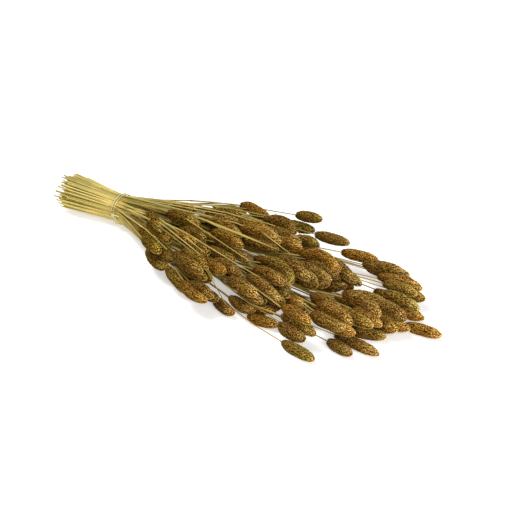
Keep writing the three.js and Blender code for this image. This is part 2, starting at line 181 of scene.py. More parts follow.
@dataclass
class Fan:
    """The bunch's layout, in millimetres, with the tie at x = 0.

    The stalks fan out from the tie and push each other aside until they lie clear of each other.
    """

    cut_reach: float = 82  # tie to the longest cut end
    tip_reach: float = 424  # tie to the furthest head tip
    waist_radius: float = 15.6  # of the stalks at the tie
    waist_height: float = 18.3  # middle of the tie
    pile_height: float = 50  # top of the heads over the table
    head_length: float = 46  # mean seed head
    head_radius: float = 7
    head_lengths: tuple[float, float] = (0.8, 1.2)  # shortest and longest, as shares of the mean
    head_widths: tuple[float, float] = (0.9, 1.1)  # thinnest and thickest
    butt_radius: float = 1  # of a stalk at the tie
    neck_radius: float = 0.7  # and where its head starts
    clusters: int = 40
    cluster_heads: int = 3  # heads that lie pressed together side by side
    flare: float = 7.5  # the fan widens as a power of the distance from the tie
    flare_power: float = 0.487
    spread: float = 0.857
    lean: float = -0.2  # of the fan, to the near side
    front_rounding: float = 0.32  # how much shorter the stalks at the fan's two sides are
    front_centre: float = 0.07
    front_margin: float = 8  # how far the clusters stay behind the fan's front
    first_head: float = 42  # nearest base of a head on the outside of the bunch
    inner_delay: float = 174  # how much further out the heads of the innermost stalks begin
    reach_below: float = 0.5  # the larger these powers, the more heads near the tie, under the pile
    reach_above: float = 2.1  # and on top of it
    outer_power: float = 0.36  # the smaller, the more heads on the outside of the pile
    lift_power: float = 0.4  # the smaller, the more heads near its top
    side_drop: float = 0.54  # share of the pile's height that is gone at its sides
    front_drop: float = 0.8  # and at its front
    cut_flare: float = 0.7  # how much wider the bunch is at its cut ends than at the tie
    cut_rise: float = 0.2  # and how much higher
    cut_lift: float = 1  # how much further the cut ends' middle is over the table
    cut_ragged: float = 16  # spread of the cut ends' lengths
    splay_power: float = 0.893  # how evenly a stalk goes to its side
    arch: float = 3  # of the longest stalk
    saddle_clusters: int = 10  # clusters over the bundle between the tie and the fan
    saddle_far: float = math.pi * 0.36  # from here on the far side, as an angle round the tie
    saddle_near: float = math.pi * 0.88  # over the top to here on the near side
    saddle_reach: float = 172  # furthest base of one of them
    stray_head: float = 0.95  # a stray head's radius, as a share of the mean
    leaf_half_width: float = 2.4
    beside_start: float = 0.25  # how far apart a cluster's heads start, as a share of their radius
    middle_ahead: float = 7  # how far the middle head of a cluster is in front of the others
    cluster_lean: float = math.pi * 0.7  # range of the angles at which the clusters lie
    strays: tuple[tuple[float, ...], ...] = (  # the middle of each stray head, and its length
        (207, 68, 42, 32),
        (149, 46, 36, 38),
        (80, 8, 38, 36),
        (243, 60, 30, 42),
        (350, 32, 14, 40),
        (400, -8, 8, 44),
        (360, -71, 8, 60),
        (350, -87, 7, 34),
        (319, -114, 7, 48),
        (256, -84, 8, 42),
        (208, -90, 8, 38),
        (358, -41, 8, 40),
        (196, 64, 28, 40),
        (280, 58, 22, 44),
        (226, -78, 10, 42),
    )
    leaves: tuple[tuple[float, ...], ...] = (  # the tip of each leaf blade
        (235, -16, 46),
        (190, 40, 42),
        (150, -58, 34),
        (128, 46, 38),
    )
    widest_at: float = 0.4  # where a head is widest, as a share of the way from base to tip
    base_narrowing: float = 0.9
    bluntness: float = 3  # of the tip, where 2 would be an ellipse
    step: float = 7  # from station to station along the bunch
    rounds: int = 460
    growing_rounds: int = 240  # the heads swell while they find their places
    settling_rounds: int = 160  # the last rounds keep less of the stalks' stiffness
    first_size: float = 0.3  # of the heads, before they swell
    clearance: float = 1.6  # between heads
    stalk_room: float = 1.1  # how close two stalks lie, as a share of touching
    cluster_press: float = 0.7  # how close two pressed heads lie, as a share of touching
    stiffness: float = 0.5
    settling_stiffness: float = 0.2
    end_stiffness: float = 0.5  # a tip's own share of its stalk's stiffness
    homing: float = 0.01  # how strongly the stalks go back to where they are meant to run
    head_mobility: float = 0.25  # a head gives way less than a passing stalk
    push: float = 1.2
    floor_press: float = 0.6  # how deep the lowest heads press flat on the table
    stalk_lift: float = 0.5  # how far the stalks stay over it
    fan_origin: float = 30  # the stalks spread from about this far behind the tie
    least_distance: float = 1e-6
    tied_stations: int = 2  # how many stations the tie holds together
    short_straws: int = 150  # straws that are broken off inside the bundle
    short_reach: tuple[float, float] = (40, 240)  # of the shortest and the longest of them
    over_straws: int = 22  # straws that are broken off over the heads
    over_reach: tuple[float, float] = (90, 255)
    over_lean: tuple[float, float] = (-1.15, 0.95)  # angles from the top of the tie where they leave it
    stalks: list[Stalk] = field(default_factory=list)

    @property
    def waist_room(self) -> float:
        """The room for the middles of the stalks at the tie."""
        return self.waist_radius - self.butt_radius

    def outline(self, t: np.ndarray) -> np.ndarray:
        """A head's shape.

        Args:
            t: shares of the way from its base to its tip.

        Returns:
            Its radius there, as shares of its widest.
        """
        low = 1 - self.base_narrowing * ((self.widest_at - t) / self.widest_at) ** 2
        high = 1 - np.clip((t - self.widest_at) / (1 - self.widest_at), 0, None) ** self.bluntness
        return np.sqrt(np.clip(np.where(t < self.widest_at, low, high), 0, None))

    def side_of(self, u: float, x: float) -> float:
        """How far to the side the fan's line u runs at x."""
        return self.flare * x**self.flare_power * (self.spread * u + self.lean)

    def top_of(self, x: float) -> float:
        """The pile's height at x."""
        return self.pile_height * (1 - self.front_drop * (x / self.tip_reach) ** 3)

    def grow(self) -> None:
        """Plants every stalk, clusters first, then strays and leaf blades, and lets them settle."""
        for cluster in range(self.clusters):
            self.stalks += self._cluster(cluster)
        self.stalks += [self._lone(Ending.STRAY_HEAD, *stray) for stray in self.strays]
        self.stalks += [self._lone(Ending.LEAF, *leaf, 0) for leaf in self.leaves]
        self._settle()

    def _stalk(
        self, ending: Ending, waist: tuple, goal: tuple, length: float, radius: float, cluster: int = -1
    ) -> Stalk:
        """A stalk whose head has its middle at the goal.

        Args:
            ending: what it carries at its end.
            waist: where it passes through the tie.
            goal: where the middle of its head is meant to be.
            length: its head's length.
            radius: its head's radius.
            cluster: the number of its head's cluster, or -1.

        Returns:
            The stalk, before it settles.
        """
        slope = (goal[1] - waist[0]) / goal[0]
        half = length / 2 / math.sqrt(1 + slope * slope)
        return Stalk(ending, waist, goal, radius, goal[0] - half, goal[0] + half, cluster)

    def _cluster(self, cluster: int) -> list[Stalk]:
        """Stalks whose heads lie side by side, from a sunflower layout of the waist.

        Args:
            cluster: the cluster's number.

        Returns:
            Its stalks, before they settle.
        """
        out = ((cluster + 0.5) / self.clusters) ** self.outer_power
        saddle = cluster - (self.clusters - self.saddle_clusters)
        angle = cluster * GOLDEN_ANGLE
        if saddle >= 0:
            angle = mix(self.saddle_far, self.saddle_near, saddle / (self.saddle_clusters - 1))
        u, v = out * math.cos(angle), out * math.sin(angle)
        apart = (share(cluster, PLASTIC_B) - 0.5) * self.cluster_lean
        toward = (math.cos(apart), math.sin(apart))
        heads = []
        for k in range(self.cluster_heads):
            index = self.cluster_heads * cluster + k
            place = k - (self.cluster_heads - 1) / 2
            length = self.head_length * mix(*self.head_lengths, share(index, GOLDEN))
            radius = self.head_radius * mix(*self.head_widths, share(index, PLASTIC_B))
            nearest = self.first_head + self.inner_delay * (1 - out * out)
            reach = share(cluster, PLASTIC_A) ** mix(self.reach_below, self.reach_above, 0.5 * (1 + v))
            front = self.tip_reach * (1 - self.front_rounding * (u - self.front_centre) ** 2)
            base = mix(nearest, front - length - self.front_margin, reach)
            if saddle >= 0:
                base = mix(nearest, self.saddle_reach, share(saddle, GOLDEN))
            x = base + length / 2 + self.middle_ahead * (0.5 - abs(place))
            lift = (0.5 * (1 + v)) ** self.lift_power * (1 - self.side_drop * u * u)
            beside = place * radius * self.beside_start
            waist = (self.waist_room * u + place * toward[0], self.waist_room * v + place * toward[1])
            y = self.side_of(u, x) + beside * toward[0]
            z = radius + (self.top_of(x) - 2 * radius) * lift + beside * toward[1]
            heads.append(self._stalk(Ending.CLUSTER_HEAD, waist, (x, y, z), length, radius, cluster))
        return heads

    def _lone(self, ending: Ending, x: float, y: float, z: float, length: float) -> Stalk:
        """A stalk that leaves the tie on the side that its end goes to.

        Args:
            ending: what it carries at its end.
            x: how far along the bunch the middle of its head is meant to be.
            y: how far to the side.
            z: how high.
            length: its head's length.

        Returns:
            The stalk, before it settles.
        """
        edge = abs(self.side_of(-1 if y < 0 else 1, x))
        side = max(-1, min(1, y / edge))
        up = max(-1, min(1, 2 * z / self.top_of(x) - 1))
        rim = self.waist_room / max(1, math.hypot(side, up))
        radius = self.leaf_half_width if ending is Ending.LEAF else self.head_radius * self.stray_head
        return self._stalk(ending, (side * rim, up * rim), (x, y, z), length, radius)

    def stalk_radius(self, stalk: Stalk, x: np.ndarray) -> np.ndarray:
        """A stalk's own radius, which shrinks from the tie to its head."""
        return mix(self.butt_radius, self.neck_radius, np.clip(x / (stalk.base + 1), 0, 1))

    def _room(self, stalk: Stalk, x: np.ndarray) -> np.ndarray:
        """How much room a stalk takes.

        Args:
            stalk: the stalk.
            x: distances from the tie.

        Returns:
            The radius of the stalk, its head or its leaf blade there.
        """
        if stalk.is_leaf:
            return np.where(x < stalk.tip, stalk.radius, 0)
        head = stalk.radius * self.outline((x - stalk.base) / (stalk.tip - stalk.base))
        return np.where(x < stalk.base, self.stalk_radius(stalk, x), np.where(x > stalk.tip, 0, head))

    def _plan(self, stalk: Stalk, x: np.ndarray) -> np.ndarray:
        """Where a stalk is meant to run.

        Args:
            stalk: the stalk.
            x: distances from the tie.

        Returns:
            Its place there, to the side and up.
        """
        t = x / stalk.goal[0]
        arch = self.arch * np.maximum(0, 4 * t * (1 - t)) * (stalk.goal[0] / self.tip_reach)
        side = mix(stalk.waist[0], stalk.goal[1], t**self.splay_power)
        height = mix(self.waist_height + stalk.waist[1], stalk.goal[2], t) + arch
        return np.stack([side, height], axis=1)

    def _settle(self) -> None:
        """Lets the stalks and their growing heads push each other clear, round by round."""
        count = len(self.stalks)
        last = np.array([math.ceil(stalk.tip / self.step) for stalk in self.stalks])
        stations = last.max() + 1
        x = np.arange(stations) * self.step
        inside = np.arange(stations) <= last[:, None]
        room = np.stack([self._room(stalk, x) for stalk in self.stalks]) * inside
        base = np.array([stalk.base for stalk in self.stalks])
        leaf = np.array([stalk.is_leaf for stalk in self.stalks])
        head = (x >= base[:, None]) & (room > 0) & ~leaf[:, None]
        plan = np.stack([self._plan(stalk, x) for stalk in self.stalks])
        cluster = np.array([stalk.cluster for stalk in self.stalks])
        number = np.arange(count)
        beside = (cluster[:, None] == cluster) & (cluster >= 0) & (np.abs(number[:, None] - number) == 1)
        path = plan.copy()
        for turn in range(self.rounds):
            settling = turn >= self.rounds - self.settling_rounds
            grown = min(1, mix(self.first_size, 1, turn / self.growing_rounds))
            stiffness = self.settling_stiffness if settling else self.stiffness
            path += self._straightening(path, plan, last, stiffness, 0 if settling else self.homing)
            for k in range(stations):
                here = np.nonzero(room[:, k] > 0)[0]
                neighbours = beside[np.ix_(here, here)]
                self._push_clear(path, here, k, room[here, k], head[here, k], neighbours, grown)
        for index, stalk in enumerate(self.stalks):
            stalk.path = path[index, : last[index] + 1]

    def _straightening(
        self, path: np.ndarray, plan: np.ndarray, last: np.ndarray, stiffness: float, homing: float
    ) -> np.ndarray:
        """How stiff stalks straighten.

        Args:
            path: where the stalks are at each station.
            plan: where they are meant to be.
            last: the number of each stalk's last station.
            stiffness: how far each station goes to the line through its neighbours.
            homing: how far it goes to the plan.

        Returns:
            How each station moves.
        """
        every = np.arange(len(path))
        line = path.copy()
        line[:, 1:-1] = (path[:, :-2] + path[:, 2:]) / 2
        line[every, last] = 2 * path[every, last - 1] - path[every, last - 2]
        number = np.arange(path.shape[1])
        free = ((number >= 1) & (number <= last[:, None])).astype(float)
        weight = np.where(number == last[:, None], self.end_stiffness, 1) * free
        return stiffness * (line - path) * weight[..., None] + homing * (plan - path) * free[..., None]

    def _push_clear(
        self,
        path: np.ndarray,
        here: np.ndarray,
        k: int,
        room: np.ndarray,
        head: np.ndarray,
        beside: np.ndarray,
        grown: float,
    ) -> None:
        """Pushes the stalks apart at one station. Heads press only on their neighbours in a cluster.

        Args:
            path: where the stalks are at each station, which this changes.
            here: the numbers of the stalks that reach this station.
            k: the station's number.
            room: the radius of each of them.
            head: whether it is a head's.
            beside: which of them are neighbours in a cluster.
            grown: how far the heads have swollen, as a share.
        """
        y, z = path[here, k, 0], path[here, k, 1]
        dy, dz = y[:, None] - y, z[:, None] - z
        splay = (y[:, None] + y) / 2 / (k * self.step + self.fan_origin)
        distance = np.sqrt(dy * dy / (1 + splay * splay) + dz * dz) + self.least_distance
        size = np.where(head, room * grown, room)
        touching = size[:, None] + size
        both = head[:, None] & head
        stems = ~head[:, None] & ~head
        pressed = beside & both
        wanted = np.where(stems, touching * self.stalk_room, touching + self.clearance)
        wanted = np.where(pressed, touching * self.cluster_press, wanted)
        active = (distance < wanted) | pressed
        np.fill_diagonal(active, False)
        mobility = np.where(head, self.head_mobility, 1)
        push = active * self.push * (wanted - distance) / distance / (mobility[:, None] + mobility)
        parts = np.maximum(1, active.sum(axis=1))
        floor = room + np.where(head, -self.floor_press, self.stalk_lift)
        path[here, k, 0] = y + (dy * push).sum(axis=1) * mobility / parts
        path[here, k, 1] = np.maximum(floor, z + (dz * push).sum(axis=1) * mobility / parts)
        if k < self.tied_stations:
            out = np.hypot(path[here, k, 0], path[here, k, 1] - self.waist_height)
            keep = np.minimum(1, self.waist_room / out)
            path[here, k, 0] *= keep
            path[here, k, 1] = self.waist_height + (path[here, k, 1] - self.waist_height) * keep

    def top_at(self, x: np.ndarray, y: np.ndarray) -> np.ndarray:
        """How high the settled heads and stalks reach.

        Args:
            x: distances from the tie.
            y: distances to the side.

        Returns:
            The height of the highest one over each place, or 0.
        """
        top = np.zeros(len(x))
        for stalk in self.stalks:
            line = self.line_at(stalk, np.minimum(x, stalk.tip))
            rise = self._room(stalk, x) ** 2 - (y - line[:, 1]) ** 2
            top = np.where(rise > 0, np.maximum(top, line[:, 2] + np.sqrt(np.maximum(rise, 0))), top)
        return top

    def broken(self) -> list[Stalk]:
        """Straws without heads: short ones inside the bundle, then long ones that lie over the heads."""
        short = [self._short(number) for number in range(self.short_straws)]
        return short + [self._over(number) for number in range(self.over_straws)]

    def _short(self, number: int) -> Stalk:
        """A straw inside the bundle, beside the stalk that is nearest to its own place at the tie.

        Args:
            number: its number among the short straws.

        Returns:
            The straw, settled.
        """
        out, angle = math.sqrt((number + 0.5) / self.short_straws), number * GOLDEN_ANGLE
        waist = (self.waist_room * out * math.cos(angle), self.waist_room * out * math.sin(angle))
        place = np.array([waist[0], self.waist_height + waist[1]])
        beside = min(self.stalks, key=lambda stalk: np.linalg.norm(stalk.path[0] - place))
        end = min(mix(*self.short_reach, share(number, PLASTIC_B)), beside.base - self.step)
        path = beside.path[: math.ceil(end / self.step) + 2] + (place - beside.path[0])
        return Stalk(Ending.INSIDE, waist, (end, *path[-1]), self.neck_radius, end, end, path=path)

    def _over(self, number: int) -> Stalk:
        """A straw that leaves the top of the tie and is pulled tight over the heads.

        Args:
            number: its number among the straws over the heads.

        Returns:
            The straw, settled.
        """
        lean = mix(*self.over_lean, share(number, GOLDEN))
        end = mix(*self.over_reach, share(number, PLASTIC_B))
        waist = (self.waist_room * math.sin(lean), self.waist_room * math.cos(lean))
        x = np.arange(math.ceil(end / self.step) + 2) * self.step
        y = mix(waist[0], self.side_of(math.sin(lean), end), (x / end) ** self.splay_power)
        z = self.top_at(x, y) + self.neck_radius
        z[0] = self.waist_height + waist[1]
        path = np.stack([y, taut(x, z)], axis=1)
        return Stalk(Ending.OVER, waist, (end, *path[-1]), self.neck_radius, end, end, path=path)

    def line_at(self, stalk: Stalk, x: np.ndarray) -> np.ndarray:
        """Points on a stalk's smooth middle line, from the tie on."""
        return np.column_stack([x, hermite(stalk.path, x / self.step)])

    def cut_end(self, stalk: Stalk, index: int) -> np.ndarray:
        """Where a stalk was cut off, behind the tie.

        Args:
            stalk: the stalk.
            index: its number, which sets how long its end is.

        Returns:
            The point.
        """
        cut = self.cut_reach - self.cut_ragged * share(index, PLASTIC_A)
        y, z = stalk.path[0]
        rise = 1 + self.cut_rise * cut / self.cut_reach
        height = self.waist_height + self.cut_lift + (z - self.waist_height) * rise
        return np.array([-cut, y * (1 + self.cut_flare * cut / self.cut_reach), height])


@dataclass
class Rail:
    """A smooth line that a straight shape is laid along.

    Args:
        points: the line's points, in mm.
    """

    points: np.ndarray

    def __post_init__(self) -> None:
        """Measures the line."""
        steps = np.linalg.norm(np.diff(self.points, axis=0), axis=1)
        self.distances = np.concatenate([[0], np.cumsum(steps)])
        self.directions = unit(np.gradient(self.points, axis=0))

    @property
    def length(self) -> float:
        """The line's length in mm."""
        return float(self.distances[-1])

    def frames(self, shares: np.ndarray) -> tuple[np.ndarray, np.ndarray, np.ndarray, np.ndarray]:
        """Places and directions along the line.

        Args:
            shares: shares of the line's length.

        Returns:
            The points, the line's direction, and its side and upward directions there.
        """
        at = np.clip(shares, 0, 1) * self.length
        points, along = self._read(self.points, at), unit(self._read(self.directions, at))
        points = points + along * ((shares - np.clip(shares, 0, 1)) * self.length)[:, None]
        side = unit(np.cross(UP, along))
        return points, along, side, np.cross(along, side)

    def _read(self, rows: np.ndarray, at: np.ndarray) -> np.ndarray:
        """The rows that go with the line's points, read at distances along it."""
        return np.column_stack([np.interp(at, self.distances, rows[:, axis]) for axis in range(3)])

    def smoothed(self, passes: int) -> "Rail":
        """The same line with its corners rounded off.

        Args:
            passes: how often each point goes towards its neighbours.

        Returns:
            The new line.
        """
        points = self.points.copy()
        for _ in range(passes):
            points[1:-1] = (points[:-2] + 2 * points[1:-1] + points[2:]) / 4
        return Rail(points)


class Bench:
    """The workbench: deselects, adds primitives and shapes them in edit mode by what is picked out."""

    @staticmethod
    def clear() -> None:
        """Deselects everything."""
        if bpy.context.object and bpy.context.object.mode != "OBJECT":
            bpy.ops.object.mode_set(mode="OBJECT")
        for thing in bpy.context.view_layer.objects:
            thing.select_set(False)

    @staticmethod
    def pick(where: Callable[[Vector], bool]) -> None:
        """Selects vertices in edit mode.

        Args:
            where: the test that a vertex's place has to pass.
        """
        bpy.ops.object.mode_set(mode="OBJECT")
        mesh = bpy.context.object.data
        mesh.polygons.foreach_set("select", [False] * len(mesh.polygons))
        mesh.edges.foreach_set("select", [False] * len(mesh.edges))
        mesh.vertices.foreach_set("select", [where(vertex.co) for vertex in mesh.vertices])
        bpy.ops.object.mode_set(mode="EDIT")
        bpy.ops.mesh.select_mode(type="VERT")

    @staticmethod
    def move(x: float = 0, y: float = 0, z: float = 0) -> None:
        """Moves what is picked."""
        bpy.ops.transform.translate(value=(x, y, z))

    @staticmethod
    def scale(x: float, y: float, z: float) -> None:
        """Scales what is picked about the origin."""
        bpy.ops.transform.resize(value=(x, y, z), center_override=(0, 0, 0))

    @staticmethod
    def tube(sides: int, rings: int) -> bpy.types.Object:
        """A closed tube of radius 1, from 0 to 1 along Z.

        Args:
            sides: the number of faces round it.
            rings: the number of faces along it.

        Returns:
            The tube's object.
        """
        Bench.clear()
        bpy.ops.mesh.primitive_cylinder_add(vertices=sides, radius=1, depth=1, location=(0, 0, 0.5))
        bpy.ops.object.transform_apply(location=True)
        bpy.ops.object.mode_set(mode="EDIT")
        bpy.ops.mesh.select_mode(type="EDGE")
        bpy.ops.mesh.select_all(action="DESELECT")
        bpy.ops.object.mode_set(mode="OBJECT")
        mesh = bpy.context.object.data
        for edge in mesh.edges:
            low, high = (mesh.vertices[number].co.z for number in edge.vertices)
            edge.select = abs(high - low) > 0.5
        bpy.ops.object.mode_set(mode="EDIT")
        bpy.ops.mesh.subdivide(number_cuts=rings - 1)
        return Bench.done()

    @staticmethod
    def done() -> bpy.types.Object:
        """Leaves edit mode and gives the shaped object."""
        bpy.ops.object.mode_set(mode="OBJECT")
        return bpy.context.object


@dataclass
class Stamp:
    """A shape modelled once, whose copies are laid along lines.

    Args:
        points: its vertices.
        faces: the vertex numbers of each face.
    """

    points: np.ndarray
    faces: list[tuple[int, ...]]

    @classmethod
    def take(cls, shaped: bpy.types.Object) -> "Stamp":
        """Takes the shape of a modelled object and removes the object.

        Args:
            shaped: the object.

        Returns:
            Its shape.
        """
        mesh = shaped.data
        points = np.array([vertex.co[:] for vertex in mesh.vertices])
        faces = [tuple(face.vertices) for face in mesh.polygons]
        bpy.data.objects.remove(shaped)
        bpy.data.meshes.remove(mesh)
        return cls(points, faces)


@dataclass
class Stack:
    """Copies of shapes, collected for one piece.

    Args:
        name: the piece's name.
        attribute: the name of its colour attribute.
    """

    name: str
    attribute: str
    points: list[np.ndarray] = field(default_factory=list)
    faces: list[tuple[int, ...]] = field(default_factory=list)
    tints: list[np.ndarray] = field(default_factory=list)
    runs: list[np.ndarray] = field(default_factory=list)
    count: int = 0

    def add(
        self,
        points: np.ndarray,
        faces: list[tuple[int, ...]],
        tints: np.ndarray,
        runs: np.ndarray,
        copies: int = 1,
    ) -> None:
        """Adds copies of a shape.

        Args:
            points: the vertices of one copy after the other, in mm from the tie.
            faces: the vertex numbers of each face of one copy.
            tints: red, green, blue and alpha of the colour attribute, for each vertex.
            runs: the place of each vertex along and across the grain, for its UV map.
            copies: how many copies there are.
        """
        size = len(points) // copies
        self.points.append(points)
        for first in range(self.count, self.count + len(points), size):
            self.faces += [tuple(number + first for number in face) for face in faces]
        self.tints.append(tints)
        self.runs.append(runs)
        self.count += len(points)

    def piece(self, sharp_deg: float) -> bpy.types.Object:
        """Makes the piece's object.

        Args:
            sharp_deg: faces that meet at more than this angle keep a sharp edge.

        Returns:
            The object, at the frame's origin, in metres.
        """
        mesh = bpy.data.meshes.new(self.name)
        points = (np.concatenate(self.points) + TIE_IN_FRAME) * MM
        points[:, 2] = np.maximum(points[:, 2], 0)  # what would be below the table lies flat on it
        mesh.from_pydata(points.tolist(), [], self.faces)
        tint = mesh.attributes.new(self.attribute, "FLOAT_COLOR", "POINT")
        tint.data.foreach_set("color", np.concatenate(self.tints).astype(np.float32).ravel())
        run = mesh.uv_layers.new(name="run")
        corners = np.zeros(len(mesh.loops), np.int32)
        mesh.loops.foreach_get("vertex_index", corners)
        run.data.foreach_set("uv", np.concatenate(self.runs).astype(np.float32)[corners].ravel())
        mesh.shade_smooth()
        mesh.set_sharp_from_angle(angle=math.radians(sharp_deg))
        mesh.update()
        piece = bpy.data.objects.new(self.name, mesh)
        bpy.context.scene.collection.objects.link(piece)
        return piece


def fit_piece(piece: bpy.types.Object, node: str, material: bpy.types.Material) -> None:
    """Puts a finished piece in its node's place and reports how well it fits.

    Args:
        piece: the finished piece.
        node: the node that it stands for.
        material: its finish.
    """
    piece.data.materials.append(material)
    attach(piece, "root")
    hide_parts(node)
    low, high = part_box(node)
    corners = np.array([vertex.co[:] for vertex in piece.data.vertices])
    apart = max(np.abs(corners.min(axis=0) - low).max(), np.abs(corners.max(axis=0) - high).max())
    triangles = sum(len(face.vertices) - 2 for face in piece.data.polygons)
    log.info("%s: %d triangles, %.1f mm off its node's box", piece.name, triangles, apart / MM)


@dataclass
class SeedHeads:
    """The seed heads: husks on a slim core, in turns of the golden angle from base to tip.

    Widths are in millimetres, and lengths and places along a head are shares of its length.
    """

    fan: Fan
    husks: int = 1000  # on each head
    slimness: float = 0.94  # husks in a cluster leave room for those beside them
    apart: float = 2.4  # how far the outer heads of a cluster are drawn from its middle one, in mm
    husk_length: float = 0.066
    husk_half_width: float = 0.64
    husk_depth: float = 0.5
    root_depth: float = 0.87  # where husks stand on the core, as a share of the outline
    root_ahead: float = 0.04  # how far in front of a husk's root that outline is read
    tip_behind: float = 0.02  # how far behind its tip the outline that it reaches is read
    size_behind: float = 0.06  # and the one that sets its size
    least_size: float = 0.6  # of a husk where the head is thin, as a share
    least_out: float = 0.08  # from the axis to the last tips, as a share of the widest
    first_row: float = -0.01
    last_row: float = 0.97
    row_scatter: float = 0.02
    turn_scatter: float = 0.5  # in radians
    length_scatter: float = 0.6  # as a share of a husk's length
    width_scatter: float = 0.3  # as a share of its width
    end_scatter: float = 0.03  # how unevenly the last tips end
    raggedness: float = 0.09  # how unevenly the tips stand out
    core_size: float = 0.96  # as a share of the outline
    core_length: float = 0.96
    row_stations: int = 400  # at which the outline is read to space out the rows
    thin_rows: float = 0.1  # the larger, the more husks where the head is thin
    line_points: int = 24
    sharp_deg: float = 35
    husk: Stamp = field(init=False)
    core: Stamp = field(init=False)

    def build(self) -> None:
        """Models one husk and one core."""
        self.husk = self._model_husk()
        self.core = self._model_core()

    def _model_husk(self) -> Stamp:
        """A keeled husk, from 0 at its root to 1 at its tip along Z, with its keel to +X.

        Returns:
            Its shape.
        """
        Bench.clear()
        bpy.ops.mesh.primitive_uv_sphere_add(segments=3, ring_count=2, radius=1)
        Bench.pick(lambda place: True)
        Bench.scale(0.8, 1.15, 0.5)
        Bench.move(z=0.5)
        Bench.pick(lambda place: place.x < -0.1)
        Bench.scale(0.1, 1, 1)
        Bench.move(z=-0.05)
        Bench.pick(lambda place: place.x > 0.1)
        Bench.move(z=0.15)
        Bench.pick(lambda place: place.z > 0.95)
        Bench.move(x=0.3)
        return Stamp.take(Bench.done())

    def _model_core(self) -> Stamp:
        """A slim egg that fills the head behind its husks, from 0 to 1 along Z.

        Returns:
            Its shape.
        """
        Bench.clear()
        bpy.ops.mesh.primitive_uv_sphere_add(segments=8, ring_count=7, radius=1)
        Bench.pick(lambda place: True)
        Bench.scale(1, 1, 0.5)
        Bench.move(z=0.5)
        return Stamp.take(Bench.done())

    def dress(self, material: bpy.types.Material) -> None:
        """Lays the husks of every head, in one piece for each node.

        Args:
            material: the finish of the husks.
        """
        each = self.fan.cluster_heads
        for cluster in range(self.fan.clusters):
            numbers = range(each * cluster, each * (cluster + 1))
            self._piece(f"seed_heads_{cluster + 1:02d}", numbers, material)
        for stray in range(len(self.fan.strays)):
            self._piece(f"stray_head_{stray + 1:02d}", [each * self.fan.clusters + stray], material)

    def _piece(self, node: str, numbers: Iterable[int], material: bpy.types.Material) -> None:
        """Lays one node's heads.

        Args:
            node: the node's name.
            numbers: the numbers of its stalks.
            material: the finish of the husks.
        """
        stack = Stack(f"{node}_husks", "husk")
        lines = [self._line(self.fan.stalks[number]) for number in numbers]
        middle = lines[len(lines) // 2].mean(axis=0)
        for number, line in zip(numbers, lines):
            away = (line.mean(axis=0) - middle) * (0, 1, 1)
            line += self.apart * away / max(np.linalg.norm(away), 1)
            rail = Rail(line)
            self._lay_core(stack, self.fan.stalks[number], number, rail)
            self._lay_husks(stack, self.fan.stalks[number], number, rail)
        fit_piece(stack.piece(self.sharp_deg), node, material)

    def _line(self, stalk: Stalk) -> np.ndarray:
        """Points on a head's axis, from its base to its tip."""
        return self.fan.line_at(stalk, np.linspace(stalk.base, stalk.tip, self.line_points))

    def _outline(self, t: np.ndarray) -> np.ndarray:
        """A head's outline, also for places a little past its ends."""
        return self.fan.outline(np.clip(t, 0, 1))

    def _rows(self) -> np.ndarray:
        """Where the husks stand along a head: the more of them, the wider it is.

        Returns:
            The place of each husk's root.
        """
        t = np.linspace(0, 1, self.row_stations)
        grown = np.cumsum(self.fan.outline(t) + self.thin_rows)
        even = (np.arange(self.husks) + 0.5) / self.husks
        return mix(self.first_row, self.last_row, np.interp(even, grown / grown[-1], t))

    def _lay_core(self, stack: Stack, stalk: Stalk, number: int, rail: Rail) -> None:
        """Lays one head's core along its line.

        Args:
            stack: what it is added to.
            stalk: the head's stalk.
            number: the stalk's number, which sets the head's colour.
            rail: the head's axis.
        """
        core = self.core.points
        t = core[:, 2]
        around = np.arctan2(core[:, 1], core[:, 0])
        off_axis = np.hypot(core[:, 0], core[:, 1]) > 0.01
        radial = stalk.radius * self.slimness * self.core_size * self.fan.outline(t) * off_axis
        points = self._place(rail, t * self.core_length, radial, around)
        count = len(core)
        tints = [np.zeros(count), np.zeros(count), np.full(count, share(number, PLASTIC_A)), t]
        stack.add(points, self.core.faces, np.column_stack(tints), np.column_stack([around, t]))

    def _lay_husks(self, stack: Stack, stalk: Stalk, number: int, rail: Rail) -> None:
        """Lays one head's husks, each from the core out to the head's outline.

        Args:
            stack: what they are added to.
            stalk: the head's stalk.
            number: the stalk's number, which seeds what is uneven in its head.
            rail: the head's axis.
        """
        k = np.arange(self.husks)
        chance = np.random.default_rng(number)
        jitter, wobble, swing, tone = chance.uniform(-0.5, 0.5, (4, self.husks))
        turn = GOLDEN_ANGLE * k + 2 * math.pi * share(number, GOLDEN) + self.turn_scatter * swing
        root = self._rows() + self.row_scatter * tone
        length = self.husk_length * (1 + self.length_scatter * jitter)
        tip = np.minimum(root + length, 1 + self.end_scatter * wobble)
        widest = stalk.radius * self.slimness
        root_out = widest * self.root_depth * self._outline(root + self.root_ahead)
        tip_out = widest * np.maximum(self._outline(tip - self.tip_behind), self.least_out)
        tip_out = tip_out * (1 + self.raggedness * wobble)
        rise, out = (tip - root) * rail.length, tip_out - root_out
        size = np.hypot(rise, out)
        slim = np.clip(self._outline(tip - self.size_behind), self.least_size, 1)
        shape = self.husk.points
        along = shape[:, 2] * size[:, None]
        keel = shape[:, 0] * (self.husk_depth * slim)[:, None]
        across = shape[:, 1] * (self.husk_half_width * slim * (1 + self.width_scatter * jitter))[:, None]
        cos, sin = (rise / size)[:, None], (out / size)[:, None]
        axial = root[:, None] + (along * cos - keel * sin) / rail.length
        radial = root_out[:, None] + along * sin + keel * cos
        every = np.repeat(k, len(shape))
        points = self._place(rail, axial.ravel(), radial.ravel(), turn[every], across.ravel())
